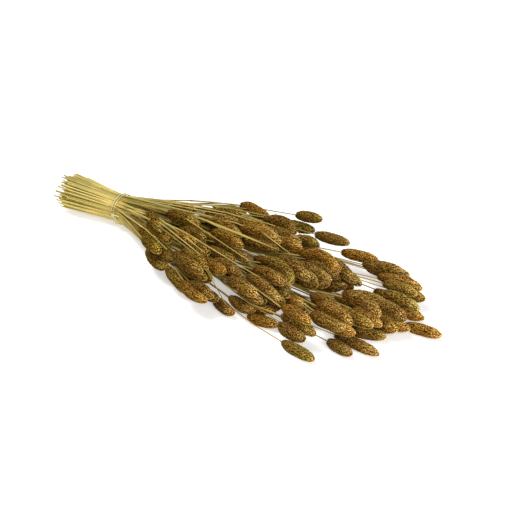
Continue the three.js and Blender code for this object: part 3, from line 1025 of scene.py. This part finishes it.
        tints = np.column_stack(
            [
                np.tile(shape[:, 2], self.husks),
                0.5 + tone[every],
                np.full(len(every), share(number, PLASTIC_A)),
                root[every],
            ]
        )
        runs = np.tile(shape[:, 1:3], (self.husks, 1))
        stack.add(points, self.husk.faces, tints, runs, self.husks)

    @staticmethod
    def _place(
        rail: Rail, axial: np.ndarray, radial: np.ndarray, around: np.ndarray, across: Numbers = 0.0
    ) -> np.ndarray:
        """Points of a head from their place along its axis, out from it, round it and across.

        Args:
            rail: the head's axis.
            axial: shares of the axis.
            radial: distances out from the axis.
            around: angles round it.
            across: distances to the side, square to the radial direction.

        Returns:
            The points, in mm from the tie.
        """
        points, _, side, up = rail.frames(axial)
        outward = side * np.cos(around)[:, None] + up * np.sin(around)[:, None]
        sideways = up * np.cos(around)[:, None] - side * np.sin(around)[:, None]
        return points + outward * np.reshape(radial, (-1, 1)) + sideways * np.reshape(across, (-1, 1))


@dataclass
class Straw:
    """The straws, hollow at their cut ends and swollen at their joints, and the dry leaf blades among them.

    Lengths are in millimetres.
    """

    fan: Fan
    sides: int = 5
    rings: int = 14
    hollow: float = 0.62  # the bore, as a share of the straw's radius
    pith_depth: float = 0.012  # as a share of its length
    fraying: tuple[float, float, float] = (14, 4, 3)  # how unevenly the cut ends lie
    longer_ends: float = 0.35  # share of the fraying by which the longest ends stand out
    swelling: float = 0.35  # how much thicker a joint is, as a share
    joint_places: tuple[float, float] = (0.3, 0.62)  # nearest and furthest, as shares of the straw
    joint_length: float = 2.5
    waist_length: float = 8  # how closely the rings follow the bend at the tie
    into_head: float = 3.0
    thickness: tuple[float, float] = (0.78, 1.05)  # thinnest and thickest, as shares of the layout's
    broken_thickness: float = 0.7
    painted_shade_reach: float = 90  # how far from the tie the straw's painted shade is at its deepest
    over_straw_painted_shade: float = 0.2  # the most painted shade that a straw over the heads gets, as a share, since it lies in the light on top
    behind_points: int = 24  # of a straw's line, from its cut end to the tie
    ahead_points: int = 12  # at least, from the tie on
    ahead_step: float = 3  # and from one to the next
    straw_passes: int = 12  # of smoothing
    grain_length: float = 10  # what one unit of the grain's map covers
    leaf_start: float = 8  # from the tie
    leaf_end: float = 40  # how far the stalks of leaf blades reach
    leaf_rows: int = 26
    leaf_points: int = 40
    leaf_passes: int = 6
    leaf_fold: float = 0.35
    leaf_width: float = 0.62  # as a share of the layout's
    leaf_ends: float = 0.7  # how wide it is at its ends, as a share
    leaf_curve: tuple[float, float] = (0.05, 0.95)  # the part of a half wave that its edge follows
    leaf_depth: float = 0.6  # of the fold, as a share of the layout's width
    leaf_twist: float = 0.9  # at most, in radians to either side
    leaf_tint: tuple[float, float, float, float] = (0.6, 0, 0.5, 0)  # its place in the straw's colours, with half of the straws' painted shade
    sharp_deg: float = 50
    straw: Stamp = field(init=False)
    leaf: Stamp = field(init=False)

    def build(self) -> None:
        """Models one straight straw and one flat leaf."""
        self.straw = self._model_straw()
        self.leaf = self._model_leaf()

    def _model_straw(self) -> Stamp:
        """A straw of radius 1, from 0 at its hollow cut end to 1 along Z.

        Returns:
            Its shape.
        """
        mesh = Bench.tube(self.sides, self.rings).data
        bpy.ops.object.mode_set(mode="EDIT")
        bpy.ops.mesh.select_mode(type="FACE")
        bpy.ops.object.mode_set(mode="OBJECT")
        for face in mesh.polygons:
            face.select = face.normal.z < -0.5
        bpy.ops.object.mode_set(mode="EDIT")
        bpy.ops.mesh.inset(thickness=1 - self.hollow)
        bpy.ops.mesh.extrude_region_move(TRANSFORM_OT_translate={"value": (0, 0, self.pith_depth)})
        return Stamp.take(Bench.done())

    def _model_leaf(self) -> Stamp:
        """A thin pointed leaf with a fold along its middle, from 0 to 1 along Z and from -1 to 1 along X.

        Returns:
            Its shape.
        """
        Bench.clear()
        bpy.ops.mesh.primitive_grid_add(
            x_subdivisions=4, y_subdivisions=self.leaf_rows, size=1, rotation=(math.pi / 2, 0, 0)
        )
        bpy.ops.object.transform_apply(rotation=True)
        Bench.pick(lambda place: True)
        Bench.scale(2, 1, 1)
        Bench.move(z=0.5)
        Bench.pick(lambda place: abs(place.x) > 0.9)
        Bench.move(y=self.leaf_fold)
        Bench.pick(lambda place: 0.4 < abs(place.x) < 0.6)
        Bench.move(y=self.leaf_fold * 0.35)
        for low, size in ((0.8, 0.75), (0.88, 0.7), (0.95, 0.4)):
            Bench.pick(lambda place: place.z > low)
            Bench.scale(size, 1, 1)
        leaf = Bench.done()
        skin = leaf.modifiers.new("skin", "SOLIDIFY")
        skin.thickness = 0.1
        bpy.ops.object.modifier_apply(modifier=skin.name)
        return Stamp.take(leaf)

    def dress(self, material: bpy.types.Material) -> None:
        """Lays every straw and leaf, all in one piece.

        Args:
            material: the finish of the straw.
        """
        stack = Stack("straw_stalks", "straw")
        for index, stalk in enumerate(self.fan.stalks + self.fan.broken()):
            thick = mix(*self.thickness, share(index, GOLDEN))
            end = stalk.base + self.into_head
            if stalk.is_leaf:
                end = self.leaf_end
                self._lay_leaf(stack, stalk, index)
            elif stalk.ending in (Ending.INSIDE, Ending.OVER):
                thick, end = self.broken_thickness, stalk.tip
            self._lay_straw(stack, stalk, index, end, thick)
        fit_piece(stack.piece(self.sharp_deg), "stalks", material)

    def _rail(self, stalk: Stalk, index: int, end: float) -> Rail:
        """The line that a straw is laid along.

        Args:
            stalk: the straw's stalk.
            index: its number, which sets how its cut end lies.
            end: how far from the tie it reaches.

        Returns:
            The line, from the cut end on.
        """
        longer = share(index, GOLDEN) ** 2 - self.longer_ends
        uneven = np.array([longer, share(index, PLASTIC_B) - 0.5, share(index, PLASTIC_A) - 0.5])
        cut = self.fan.cut_end(stalk, index) + np.array(self.fraying) * uneven
        waist = self.fan.line_at(stalk, np.array([0.0]))[0]
        behind = mix(cut, waist, np.linspace(0, 1, self.behind_points)[:-1, None])
        points = max(self.ahead_points, int(end / self.ahead_step))
        ahead = self.fan.line_at(stalk, np.linspace(0, end, points))
        return Rail(np.vstack([behind, ahead])).smoothed(self.straw_passes)

    def _lay_straw(self, stack: Stack, stalk: Stalk, index: int, end: float, thick: float) -> None:
        """Lays one straw along its stalk's line.

        Args:
            stack: what it is added to.
            stalk: the stalk.
            index: its number, which sets its colour and where its joint is.
            end: how far from the tie it reaches.
            thick: its thickness, as a share of the layout's.
        """
        rail = self._rail(stalk, index, end)
        shape = self.straw.points
        joint = mix(*self.joint_places, share(index, PLASTIC_B))
        waist = np.interp(0, rail.points[:, 0], rail.distances) / rail.length
        beside = np.array([-1, 0, 1]) / rail.length
        even = np.linspace(0, 1, self.rings + 1 - 2 * len(beside))
        at_waist, at_joint = waist + beside * self.waist_length, joint + beside * self.joint_length
        rings = np.sort(np.hstack([even, at_waist, at_joint]))
        t = np.interp(shape[:, 2], np.linspace(0, 1, self.rings + 1), rings)
        points, _, side, up = rail.frames(t)
        near_joint = np.exp(-(((t - joint) * rail.length / self.joint_length) ** 2))
        radius = self.fan.stalk_radius(stalk, points[:, 0]) * thick * (1 + self.swelling * near_joint)
        points = points + (side * shape[:, :1] + up * shape[:, 1:2]) * radius[:, None]
        inside = np.hypot(shape[:, 0], shape[:, 1]) < 0.9
        bore = inside & (shape[:, 2] < 0.5)
        count = len(shape)
        # Painted shade: straws darken with distance from the tie, where they run among and under the heads;
        # those over the heads stay nearly unshaded.
        deepest_painted_shade = self.over_straw_painted_shade if stalk.ending is Ending.OVER else 1
        brown = np.clip(points[:, 0] / self.painted_shade_reach, 0, deepest_painted_shade)
        tints = np.column_stack([np.full(count, share(index, PLASTIC_A)), near_joint, brown, bore])
        around = np.arctan2(shape[:, 1], shape[:, 0]) / (2 * math.pi)
        runs = np.column_stack([around + index, t * rail.length / self.grain_length + index])
        stack.add(points, self.straw.faces, tints, runs)

    def _lay_leaf(self, stack: Stack, stalk: Stalk, index: int) -> None:
        """Lays one leaf blade along its stalk's line.

        Args:
            stack: what it is added to.
            stalk: the blade's stalk.
            index: its number, which sets how it twists.
        """
        along = np.linspace(self.leaf_start, stalk.tip, self.leaf_points)
        rail = Rail(self.fan.line_at(stalk, along)).smoothed(self.leaf_passes)
        shape = self.leaf.points
        points, _, side, up = rail.frames(shape[:, 2])
        twist = mix(-self.leaf_twist, self.leaf_twist, share(index, GOLDEN)) * shape[:, 2]
        flat = side * np.cos(twist)[:, None] + up * np.sin(twist)[:, None]
        over = up * np.cos(twist)[:, None] - side * np.sin(twist)[:, None]
        belly = np.sin(math.pi * np.clip(mix(*self.leaf_curve, shape[:, 2]), 0, 1))
        width = self.leaf_width * stalk.radius * mix(self.leaf_ends, 1, belly)[:, None]
        points = points + flat * shape[:, :1] * width - over * shape[:, 1:2] * stalk.radius * self.leaf_depth
        tints = np.tile(self.leaf_tint, (len(shape), 1))
        runs = np.column_stack([shape[:, 0] + index, shape[:, 2] * rail.length / self.grain_length + index])
        stack.add(points, self.leaf.faces, tints, runs)


@dataclass
class StringTie:
    """The string round the waist: two turns of two twisted strands, a knot and two short ends.

    Lengths are in millimetres.
    """

    fan: Fan
    strand_radius: float = 0.4
    strand_spacing: float = 0.9  # from the string's middle to a strand's, as a share of its radius
    twist_pitch: float = 3.6
    sides: int = 6
    rings: int = 100
    least_points: int = 24  # of a line that strands are twisted round
    points_per_mm: float = 2.2
    grain_length: float = 10  # what one unit of the grain's map covers
    coil_radius: float = 17.3
    coil_points: int = 180
    turns: int = 2
    pitch: float = 3.2  # from turn to turn
    knot_proud: float = 0.6  # how far the knot stands out of the turns
    knot_size: float = 0.62
    knot_length: float = 1.4  # along the bunch, as a share of its size
    knot_depth: float = 1.1
    knot_points: int = 60
    tail_ahead: float = 9.9  # how far an end reaches towards the heads
    tail_start: float = 1.2
    tail_out: float = 0.8
    tail_apart: float = 4.95
    tail_sag: float = 3.0
    tail_points: int = 30
    sharp_deg: float = 60
    strand: Stamp = field(init=False)

    def build(self) -> None:
        """Models one straight strand."""
        self.strand = Stamp.take(Bench.tube(self.sides, self.rings))

    def _coil(self) -> np.ndarray:
        """The string's turns round the stalks.

        Returns:
            Their points.
        """
        turn = np.linspace(0, self.turns, self.coil_points)
        angle = math.pi - 2 * math.pi * turn
        height = self.fan.waist_height + self.coil_radius * np.sin(angle)
        x = self.pitch * (turn - self.turns / 2)
        return np.column_stack([x, self.coil_radius * np.cos(angle), height])

    def _knot_at(self) -> np.ndarray:
        """The knot's middle, on the near side."""
        return np.array([0, -self.coil_radius - self.knot_proud, self.fan.waist_height])

    def _knot(self) -> np.ndarray:
        """A small overhand knot.

        Returns:
            Its points.
        """
        s = np.linspace(0, 2 * math.pi, self.knot_points)
        x = np.sin(s) + 2 * np.sin(2 * s)
        z = np.cos(s) - 2 * np.cos(2 * s)
        y = -self.knot_depth * np.sin(3 * s)
        return self._knot_at() + self.knot_size * np.column_stack([self.knot_length * x, y, z])

    def _tail(self, hand: int) -> np.ndarray:
        """One of the string's ends, which come out of the knot towards the heads and sag.

        Args:
            hand: -1 for the lower end and 1 for the upper one.

        Returns:
            Its points.
        """
        t = np.linspace(0, 1, self.tail_points)
        rise = hand * self.tail_apart * t - self.tail_sag * t * t
        out = -self.tail_start - self.tail_out * t
        return self._knot_at() + np.column_stack([self.tail_ahead * t, out, rise])

    def dress(self, material: bpy.types.Material) -> None:
        """Lays the string's strands, all in one piece.

        Args:
            material: the finish of the string.
        """
        stack = Stack("string_tie", "twine")
        for line in (self._coil(), self._knot(), self._tail(-1), self._tail(1)):
            self._lay_string(stack, Rail(line))
        fit_piece(stack.piece(self.sharp_deg), "tie", material)

    def _lay_string(self, stack: Stack, rail: Rail) -> None:
        """Lays two strands that twist round each other.

        Args:
            stack: what they are added to.
            rail: the line that they twist round.
        """
        shares = np.linspace(0, 1, max(self.least_points, int(rail.length * self.points_per_mm)))
        points, along, _, _ = rail.frames(shares)
        side = unit(np.cross(along, ASKEW))
        up = np.cross(along, side)
        turn = 2 * math.pi * shares * rail.length / self.twist_pitch
        shape = self.strand.points
        count = len(shape)
        around = np.arctan2(shape[:, 1], shape[:, 0]) / (2 * math.pi)
        for phase in (0, math.pi):
            out = side * np.cos(turn + phase)[:, None] + up * np.sin(turn + phase)[:, None]
            strand = Rail(points + out * self.strand_radius * self.strand_spacing)
            places, heading, _, _ = strand.frames(shape[:, 2])
            across = unit(np.cross(heading, ASKEW))
            upward = np.cross(heading, across)
            laid = places + (across * shape[:, :1] + upward * shape[:, 1:2]) * self.strand_radius
            tints = np.column_stack([np.full(count, phase / math.pi), np.zeros((count, 2)), np.ones(count)])
            runs = np.column_stack([around, shape[:, 2] * strand.length / self.grain_length])
            stack.add(laid, self.strand.faces, tints, runs)


class Patterns:
    """Shader node groups that more than one finish uses."""

    def __init__(self) -> None:
        """Makes the groups."""
        self.fibres = self._fibres()
        self.mottle = self._mottle()

    @staticmethod
    def _group(name: str, inputs: dict[str, float], outputs: tuple[str, ...]) -> bpy.types.NodeTree:
        """A group with a vector input, number inputs and number outputs.

        Args:
            name: the group's name.
            inputs: the number inputs, each with its usual value.
            outputs: the outputs.

        Returns:
            The group, still without nodes.
        """
        group = bpy.data.node_groups.new(name, "ShaderNodeTree")
        group.interface.new_socket("Vector", in_out="INPUT", socket_type="NodeSocketVector")
        for label, value in inputs.items():
            socket = group.interface.new_socket(label, in_out="INPUT", socket_type="NodeSocketFloat")
            socket.default_value = value
        for label in outputs:
            group.interface.new_socket(label, in_out="OUTPUT", socket_type="NodeSocketFloat")
        return group

    def _fibres(self) -> bpy.types.NodeTree:
        """Streaks along the grain of a surface whose UV runs across and along it.

        Returns:
            The group.
        """
        group = self._group("plant fibres", {"Across": 9.0, "Along": 0.5}, ("Streak",))
        nodes, links = group.nodes, group.links
        given, result = nodes.new("NodeGroupInput"), nodes.new("NodeGroupOutput")
        stretch = nodes.new("ShaderNodeCombineXYZ")
        links.new(given.outputs["Across"], stretch.inputs["X"])
        links.new(given.outputs["Along"], stretch.inputs["Y"])
        scaled = nodes.new("ShaderNodeVectorMath")
        scaled.operation = "MULTIPLY"
        links.new(given.outputs["Vector"], scaled.inputs[0])
        links.new(stretch.outputs["Vector"], scaled.inputs[1])
        noise = nodes.new("ShaderNodeTexNoise")
        noise.inputs["Scale"].default_value = 1.0
        noise.inputs["Detail"].default_value = 3.0
        links.new(scaled.outputs["Vector"], noise.inputs["Vector"])
        links.new(noise.outputs["Fac"], result.inputs["Streak"])
        return group

    def _mottle(self) -> bpy.types.NodeTree:
        """Coarse blotches with fine grains in them.

        Returns:
            The group.
        """
        group = self._group("dry mottling", {"Scale": 60.0, "Grain": 900.0}, ("Blotch", "Grain"))
        nodes, links = group.nodes, group.links
        given, result = nodes.new("NodeGroupInput"), nodes.new("NodeGroupOutput")
        for label, source in (("Blotch", "Scale"), ("Grain", "Grain")):
            noise = nodes.new("ShaderNodeTexNoise")
            noise.inputs["Detail"].default_value = 2.0
            links.new(given.outputs["Vector"], noise.inputs["Vector"])
            links.new(given.outputs[source], noise.inputs["Scale"])
            links.new(noise.outputs["Fac"], result.inputs[label])
        return group


class Blend(Enum):
    """How one colour goes over another."""

    TINT = "MULTIPLY"
    COVER = "MIX"


@dataclass(frozen=True)
class Finish:
    """A finish: one material with a Principled BSDF and what feeds it.

    Args:
        name: the material's name.
        roughness: the least and greatest roughness.
        gloss: how much light the surface mirrors.
        bump: the relief's depth, in metres.
    """

    name: str
    roughness: tuple[float, float]
    gloss: float
    bump: float

    def start(self) -> bpy.types.Material:
        """A new material with its Principled BSDF.

        Returns:
            The material.
        """
        material = bpy.data.materials.new(self.name)
        material.use_nodes = True
        return material

    @staticmethod
    def node(material: bpy.types.Material, kind: str, **sockets: Feed) -> bpy.types.Node:
        """Adds a node.

        Args:
            material: the material.
            kind: the node's type.
            **sockets: what its inputs take, by their names, with _ for a space.

        Returns:
            The node.
        """
        node = material.node_tree.nodes.new(kind)
        for label, value in sockets.items():
            Finish.feed(material, node.inputs[label.replace("_", " ")], value)
        return node

    @staticmethod
    def feed(material: bpy.types.Material, socket: bpy.types.NodeSocket, value: Feed) -> None:
        """Sets an input, or links it to an output.

        Args:
            material: the material.
            socket: the input.
            value: the value or the output.
        """
        if isinstance(value, bpy.types.NodeSocket):
            material.node_tree.links.new(value, socket)
        else:
            socket.default_value = value

    @staticmethod
    def pattern(
        material: bpy.types.Material, group: bpy.types.NodeTree, vector: bpy.types.NodeSocket, **values: float
    ) -> bpy.types.Node:
        """Places a shared pattern.

        Args:
            material: the material.
            group: the pattern's group.
            vector: the output that gives the place on the surface.
            **values: the pattern's own values, by their names.

        Returns:
            The group's node.
        """
        node = material.node_tree.nodes.new("ShaderNodeGroup")
        node.node_tree = group
        material.node_tree.links.new(vector, node.inputs["Vector"])
        for label, value in values.items():
            node.inputs[label].default_value = value
        return node

    @staticmethod
    def ramp(material: bpy.types.Material, factor: Feed, stops: Stops) -> bpy.types.NodeSocket:
        """Reads a run of colours.

        Args:
            material: the material.
            factor: the output that gives the place in the run.
            stops: the run.

        Returns:
            The colour's output.
        """
        node = material.node_tree.nodes.new("ShaderNodeValToRGB")
        steps = node.color_ramp.elements
        while len(steps) < len(stops):
            steps.new(0.5)
        for step, (place, colour) in zip(steps, stops):
            step.position = place
            step.color = (*colour, 1)
        material.node_tree.links.new(factor, node.inputs["Fac"])
        return node.outputs["Color"]

    @staticmethod
    def blend(
        material: bpy.types.Material, kind: Blend, factor: Feed, first: Feed, second: Feed
    ) -> bpy.types.NodeSocket:
        """Mixes two colours.

        Args:
            material: the material.
            kind: how the second colour goes over the first.
            factor: how much of it does.
            first: the first colour.
            second: the second colour.

        Returns:
            The mixed colour's output.
        """
        node = material.node_tree.nodes.new("ShaderNodeMix")
        node.data_type = "RGBA"
        node.blend_type = kind.value
        Finish.feed(material, node.inputs[0], factor)
        Finish.feed(material, node.inputs[6], first)
        Finish.feed(material, node.inputs[7], second)
        return node.outputs[2]

    @staticmethod
    def tinted(
        material: bpy.types.Material, colour: Feed, factor: Feed, stops: Stops
    ) -> bpy.types.NodeSocket:
        """A colour multiplied by a run of colours."""
        return Finish.blend(material, Blend.TINT, 1.0, colour, Finish.ramp(material, factor, stops))

    @staticmethod
    def span(material: bpy.types.Material, value: Feed, low: float, high: float) -> bpy.types.NodeSocket:
        """A value from 0 to 1 brought to the range from low to high."""
        node = Finish.node(material, "ShaderNodeMapRange", Value=value, To_Min=low, To_Max=high)
        return node.outputs["Result"]

    def surface(
        self, material: bpy.types.Material, colour: Feed, rough: Feed, height: Feed
    ) -> bpy.types.Material:
        """Feeds the Principled BSDF.

        Args:
            material: the material.
            colour: the output that gives the base colour.
            rough: an output from 0 to 1 that gives the roughness.
            height: an output from 0 to 1 that gives the relief.

        Returns:
            The material.
        """
        shader = material.node_tree.nodes["Principled BSDF"]
        self.feed(material, shader.inputs["Base Color"], colour)
        self.feed(material, shader.inputs["Roughness"], self.span(material, rough, *self.roughness))
        shader.inputs["Specular IOR Level"].default_value = self.gloss
        relief = self.node(material, "ShaderNodeBump", Height=height, Distance=self.bump)
        self.feed(material, shader.inputs["Normal"], relief.outputs["Normal"])
        return material


@dataclass(frozen=True)
class HuskFinish(Finish):
    """Papery husks: dark brown at the root, golden along the keel and pale at the tip, with painted shade
    towards the tie.
    """

    root_to_tip: Stops = (
        (0.0, (0.065, 0.028, 0.001)),
        (0.45, (0.115, 0.053, 0.002)),
        (0.75, (0.23, 0.124, 0.012)),
        (1.0, (0.9, 0.69, 0.3)),
    )
    grain_share: float = 0.3  # how far fine grains shift the place in that run
    husk_tones: Stops = ((0.0, (0.72, 0.68, 0.62)), (0.55, (1.0, 0.98, 0.95)), (1.0, (1.45, 1.42, 1.36)))
    head_tones: Stops = (
        (0.0, (0.78, 0.76, 0.6)),
        (0.4, (1.0, 0.98, 0.9)),
        (0.75, (1.2, 1.04, 0.7)),
        (1.0, (0.92, 1.02, 0.74)),
    )
    along_head: Stops = ((0.1, (0.86, 0.84, 0.8)), (0.66, (1.0, 1.0, 1.0)), (0.9, (2.3, 2.6, 3.6)))
    blotch_tones: Stops = ((0.36, (1.04, 1.06, 0.8)), (0.5, (1.0, 1.0, 1.0)), (0.62, (0.94, 0.84, 0.72)))
    # Painted shade along the bunch: the heads are darker near the tie, where the bundle shades them, and
    # lighter towards the lit front.
    painted_shade_along_bunch: Stops = ((0.0, (0.84, 0.82, 0.5)), (0.45, (0.81, 0.76, 0.68)), (1.0, (1.05, 1.02, 1.08)))
    painted_shade_start: float = -0.1  # where that painted shade starts, in metres along the bunch
    painted_shade_end: float = 0.2

    def make(self, patterns: Patterns) -> bpy.types.Material:
        """Makes the material.

        Args:
            patterns: the shared node groups.

        Returns:
            The material.
        """
        material = self.start()
        tint = self.node(material, "ShaderNodeAttribute")
        tint.attribute_name = "husk"
        parts = self.node(material, "ShaderNodeSeparateColor", Color=tint.outputs["Color"])
        place = self.node(material, "ShaderNodeTexCoord")
        spots = self.pattern(material, patterns.mottle, place.outputs["Object"], Scale=90.0, Grain=1400.0)
        grain = self.pattern(material, patterns.fibres, place.outputs["UV"], Across=5.0, Along=1.2)
        along = self.node(material, "ShaderNodeMath")
        along.operation = "MULTIPLY_ADD"
        self.feed(material, along.inputs[0], self.span(material, spots.outputs["Grain"], -0.5, 0.5))
        along.inputs[1].default_value = self.grain_share
        self.feed(material, along.inputs[2], parts.outputs["Red"])
        colour = self.ramp(material, along.outputs["Value"], self.root_to_tip)
        colour = self.tinted(material, colour, parts.outputs["Green"], self.husk_tones)
        colour = self.tinted(material, colour, parts.outputs["Blue"], self.head_tones)
        colour = self.tinted(material, colour, tint.outputs["Alpha"], self.along_head)
        colour = self.tinted(material, colour, spots.outputs["Blotch"], self.blotch_tones)
        # Painted shade: darker near the tie, lighter towards the front of the bunch.
        axes = self.node(material, "ShaderNodeSeparateXYZ", Vector=place.outputs["Object"])
        ahead = self.node(material, "ShaderNodeMapRange", Value=axes.outputs["X"])
        ahead.inputs["From Min"].default_value = self.painted_shade_start
        ahead.inputs["From Max"].default_value = self.painted_shade_end
        colour = self.tinted(material, colour, ahead.outputs["Result"], self.painted_shade_along_bunch)
        return self.surface(material, colour, spots.outputs["Grain"], grain.outputs["Streak"])


@dataclass(frozen=True)
class StrawFinish(Finish):
    """Dry straw: fine fibres lengthwise, olive to yellow from stalk to stalk, darker at the joints, with
    painted shade among the heads.
    """

    stalk_tones: Stops = (
        (0.0, (0.33, 0.27, 0.065)),
        (0.35, (0.5, 0.41, 0.1)),
        (0.7, (0.68, 0.56, 0.185)),
        (1.0, (0.56, 0.42, 0.115)),
    )
    streak_tones: Stops = ((0.3, (0.68, 0.66, 0.58)), (0.7, (1.16, 1.15, 1.1)))
    blotch_tones: Stops = ((0.35, (0.82, 0.86, 0.74)), (0.65, (1.1, 1.05, 1.0)))
    # Painted shade: the straws among and under the heads are darker.
    painted_shade_along_bunch: Stops = ((0.0, (1.0, 1.0, 1.0)), (0.5, (0.78, 0.7, 0.56)), (1.0, (0.74, 0.66, 0.5)))
    joint_colour: tuple[float, float, float, float] = (0.16, 0.1, 0.03, 1)
    joint_share: float = 0.6  # how much of it covers the middle of a joint
    pith_colour: tuple[float, float, float, float] = (0.5, 0.4, 0.2, 1)

    def make(self, patterns: Patterns) -> bpy.types.Material:
        """Makes the material.

        Args:
            patterns: the shared node groups.

        Returns:
            The material.
        """
        material = self.start()
        tint = self.node(material, "ShaderNodeAttribute")
        tint.attribute_name = "straw"
        parts = self.node(material, "ShaderNodeSeparateColor", Color=tint.outputs["Color"])
        place = self.node(material, "ShaderNodeTexCoord")
        fibres = self.pattern(material, patterns.fibres, place.outputs["UV"], Across=14.0, Along=0.35)
        spots = self.pattern(material, patterns.mottle, place.outputs["Object"], Scale=45.0, Grain=500.0)
        colour = self.ramp(material, parts.outputs["Red"], self.stalk_tones)
        colour = self.tinted(material, colour, fibres.outputs["Streak"], self.streak_tones)
        colour = self.tinted(material, colour, spots.outputs["Blotch"], self.blotch_tones)
        joint = self.span(material, parts.outputs["Green"], 0.0, self.joint_share)
        colour = self.blend(material, Blend.COVER, joint, colour, self.joint_colour)
        # Painted shade on the straws ahead of the tie.
        colour = self.tinted(material, colour, parts.outputs["Blue"], self.painted_shade_along_bunch)
        colour = self.blend(material, Blend.COVER, tint.outputs["Alpha"], colour, self.pith_colour)
        return self.surface(material, colour, spots.outputs["Grain"], fibres.outputs["Streak"])


@dataclass(frozen=True)
class TwineFinish(Finish):
    """Pale natural string."""

    streak_tones: Stops = ((0.3, (0.55, 0.46, 0.2)), (0.7, (0.84, 0.75, 0.42)))

    def make(self, patterns: Patterns) -> bpy.types.Material:
        """Makes the material.

        Args:
            patterns: the shared node groups.

        Returns:
            The material.
        """
        material = self.start()
        place = self.node(material, "ShaderNodeTexCoord")
        fibres = self.pattern(material, patterns.fibres, place.outputs["UV"], Across=6.0, Along=9.0)
        spots = self.pattern(material, patterns.mottle, place.outputs["Object"], Scale=200.0, Grain=2500.0)
        colour = self.ramp(material, fibres.outputs["Streak"], self.streak_tones)
        return self.surface(material, colour, spots.outputs["Grain"], fibres.outputs["Streak"])


@dataclass(frozen=True)
class Lamp:
    """A square soft light that faces the middle of the floor.

    Args:
        name: its name.
        place: where it hangs, in metres.
        size: its side, in metres.
        power: its power, in watts.
    """

    name: str
    place: tuple[float, float, float]
    size: float
    power: float

    def hang(self) -> None:
        """Puts the light in the scene."""
        data = bpy.data.lights.new(self.name, "AREA")
        data.size = self.size
        data.energy = self.power
        lamp = bpy.data.objects.new(self.name, data)
        lamp.location = self.place
        lamp.rotation_euler = Vector(self.place).to_track_quat("Z", "Y").to_euler()
        bpy.context.scene.collection.objects.link(lamp)


@dataclass
class Studio:
    """A pale floor, soft light and the camera at the photograph's viewing angle, in metres."""

    azimuth_deg: float = 35.55
    elevation_deg: float = 29.54
    distance: float = 1.9975  # from the camera to what it is aimed at
    aim: tuple[float, float, float] = (0.0175, 0.0199, 0.02)
    focal_pixels: float = 1857.5
    frame_pixels: float = 512
    sensor_mm: float = 36
    surround: float = 0.3  # strength of the white surround
    overhead: Lamp = Lamp("overhead", (-0.8, -0.1, 1.5), 0.9, 27)
    near_side: Lamp = Lamp("near_side", (1.3, -1.0, 0.8), 0.9, 21)
    floor_size: float = 14
    floor_grey: float = 0.8
    floor_roughness: float = 0.9
    floor_glow: float = 0.45  # keeps the floor white between the lights

    def build(self) -> None:
        """Makes the camera, the lights and the floor."""
        self._camera()
        self._lights()
        self._floor()

    def _camera(self) -> None:
        """The camera, which looks along +Y at azimuth 0."""
        data = bpy.data.cameras.new("camera")
        data.sensor_width = self.sensor_mm
        data.lens = self.focal_pixels * self.sensor_mm / self.frame_pixels
        camera = bpy.data.objects.new("camera", data)
        bpy.context.scene.collection.objects.link(camera)
        azimuth, elevation = math.radians(self.azimuth_deg), math.radians(self.elevation_deg)
        back = Vector(
            (
                math.sin(azimuth) * math.cos(elevation),
                -math.cos(azimuth) * math.cos(elevation),
                math.sin(elevation),
            )
        )
        camera.location = Vector(self.aim) + back * self.distance
        camera.rotation_euler = back.to_track_quat("Z", "Y").to_euler()
        bpy.context.scene.camera = camera

    def _lights(self) -> None:
        """A white surround, a light overhead and one from the near side."""
        world = bpy.data.worlds.new("studio")
        bpy.context.scene.world = world
        world.use_nodes = True
        background = world.node_tree.nodes["Background"]
        background.inputs["Color"].default_value = (1, 1, 1, 1)
        background.inputs["Strength"].default_value = self.surround
        self.overhead.hang()
        self.near_side.hang()
        bpy.context.scene.view_settings.view_transform = "Standard"

    def _floor(self) -> None:
        """The white floor that the bunch lies on."""
        Bench.clear()
        bpy.ops.mesh.primitive_plane_add(size=self.floor_size, location=(0, 0, 0))
        floor = bpy.context.object
        floor.name = "floor"
        material = bpy.data.materials.new("floor")
        material.use_nodes = True
        shader = material.node_tree.nodes["Principled BSDF"]
        shader.inputs["Base Color"].default_value = (self.floor_grey, self.floor_grey, self.floor_grey, 1)
        shader.inputs["Roughness"].default_value = self.floor_roughness
        shader.inputs["Emission Color"].default_value = (1, 1, 1, 1)
        shader.inputs["Emission Strength"].default_value = self.floor_glow
        floor.data.materials.append(material)


def main() -> None:
    """Builds the bunch's pieces in order."""
    logging.basicConfig(level=logging.INFO, format="%(message)s")
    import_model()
    Studio().build()

    fan = Fan()
    fan.grow()
    patterns = Patterns()

    heads = SeedHeads(fan)
    heads.build()
    husk = HuskFinish("seed_husk", roughness=(0.55, 0.85), gloss=0.04, bump=0.0003)
    heads.dress(husk.make(patterns))

    straw = Straw(fan)
    straw.build()
    dry = StrawFinish("dry_straw", roughness=(0.38, 0.62), gloss=0.25, bump=0.0001)
    straw.dress(dry.make(patterns))

    tie = StringTie(fan)
    tie.build()
    twine = TwineFinish("pale_twine", roughness=(0.7, 0.9), gloss=0.2, bump=0.0001)
    tie.dress(twine.make(patterns))


if __name__ == "__main__":
    main()
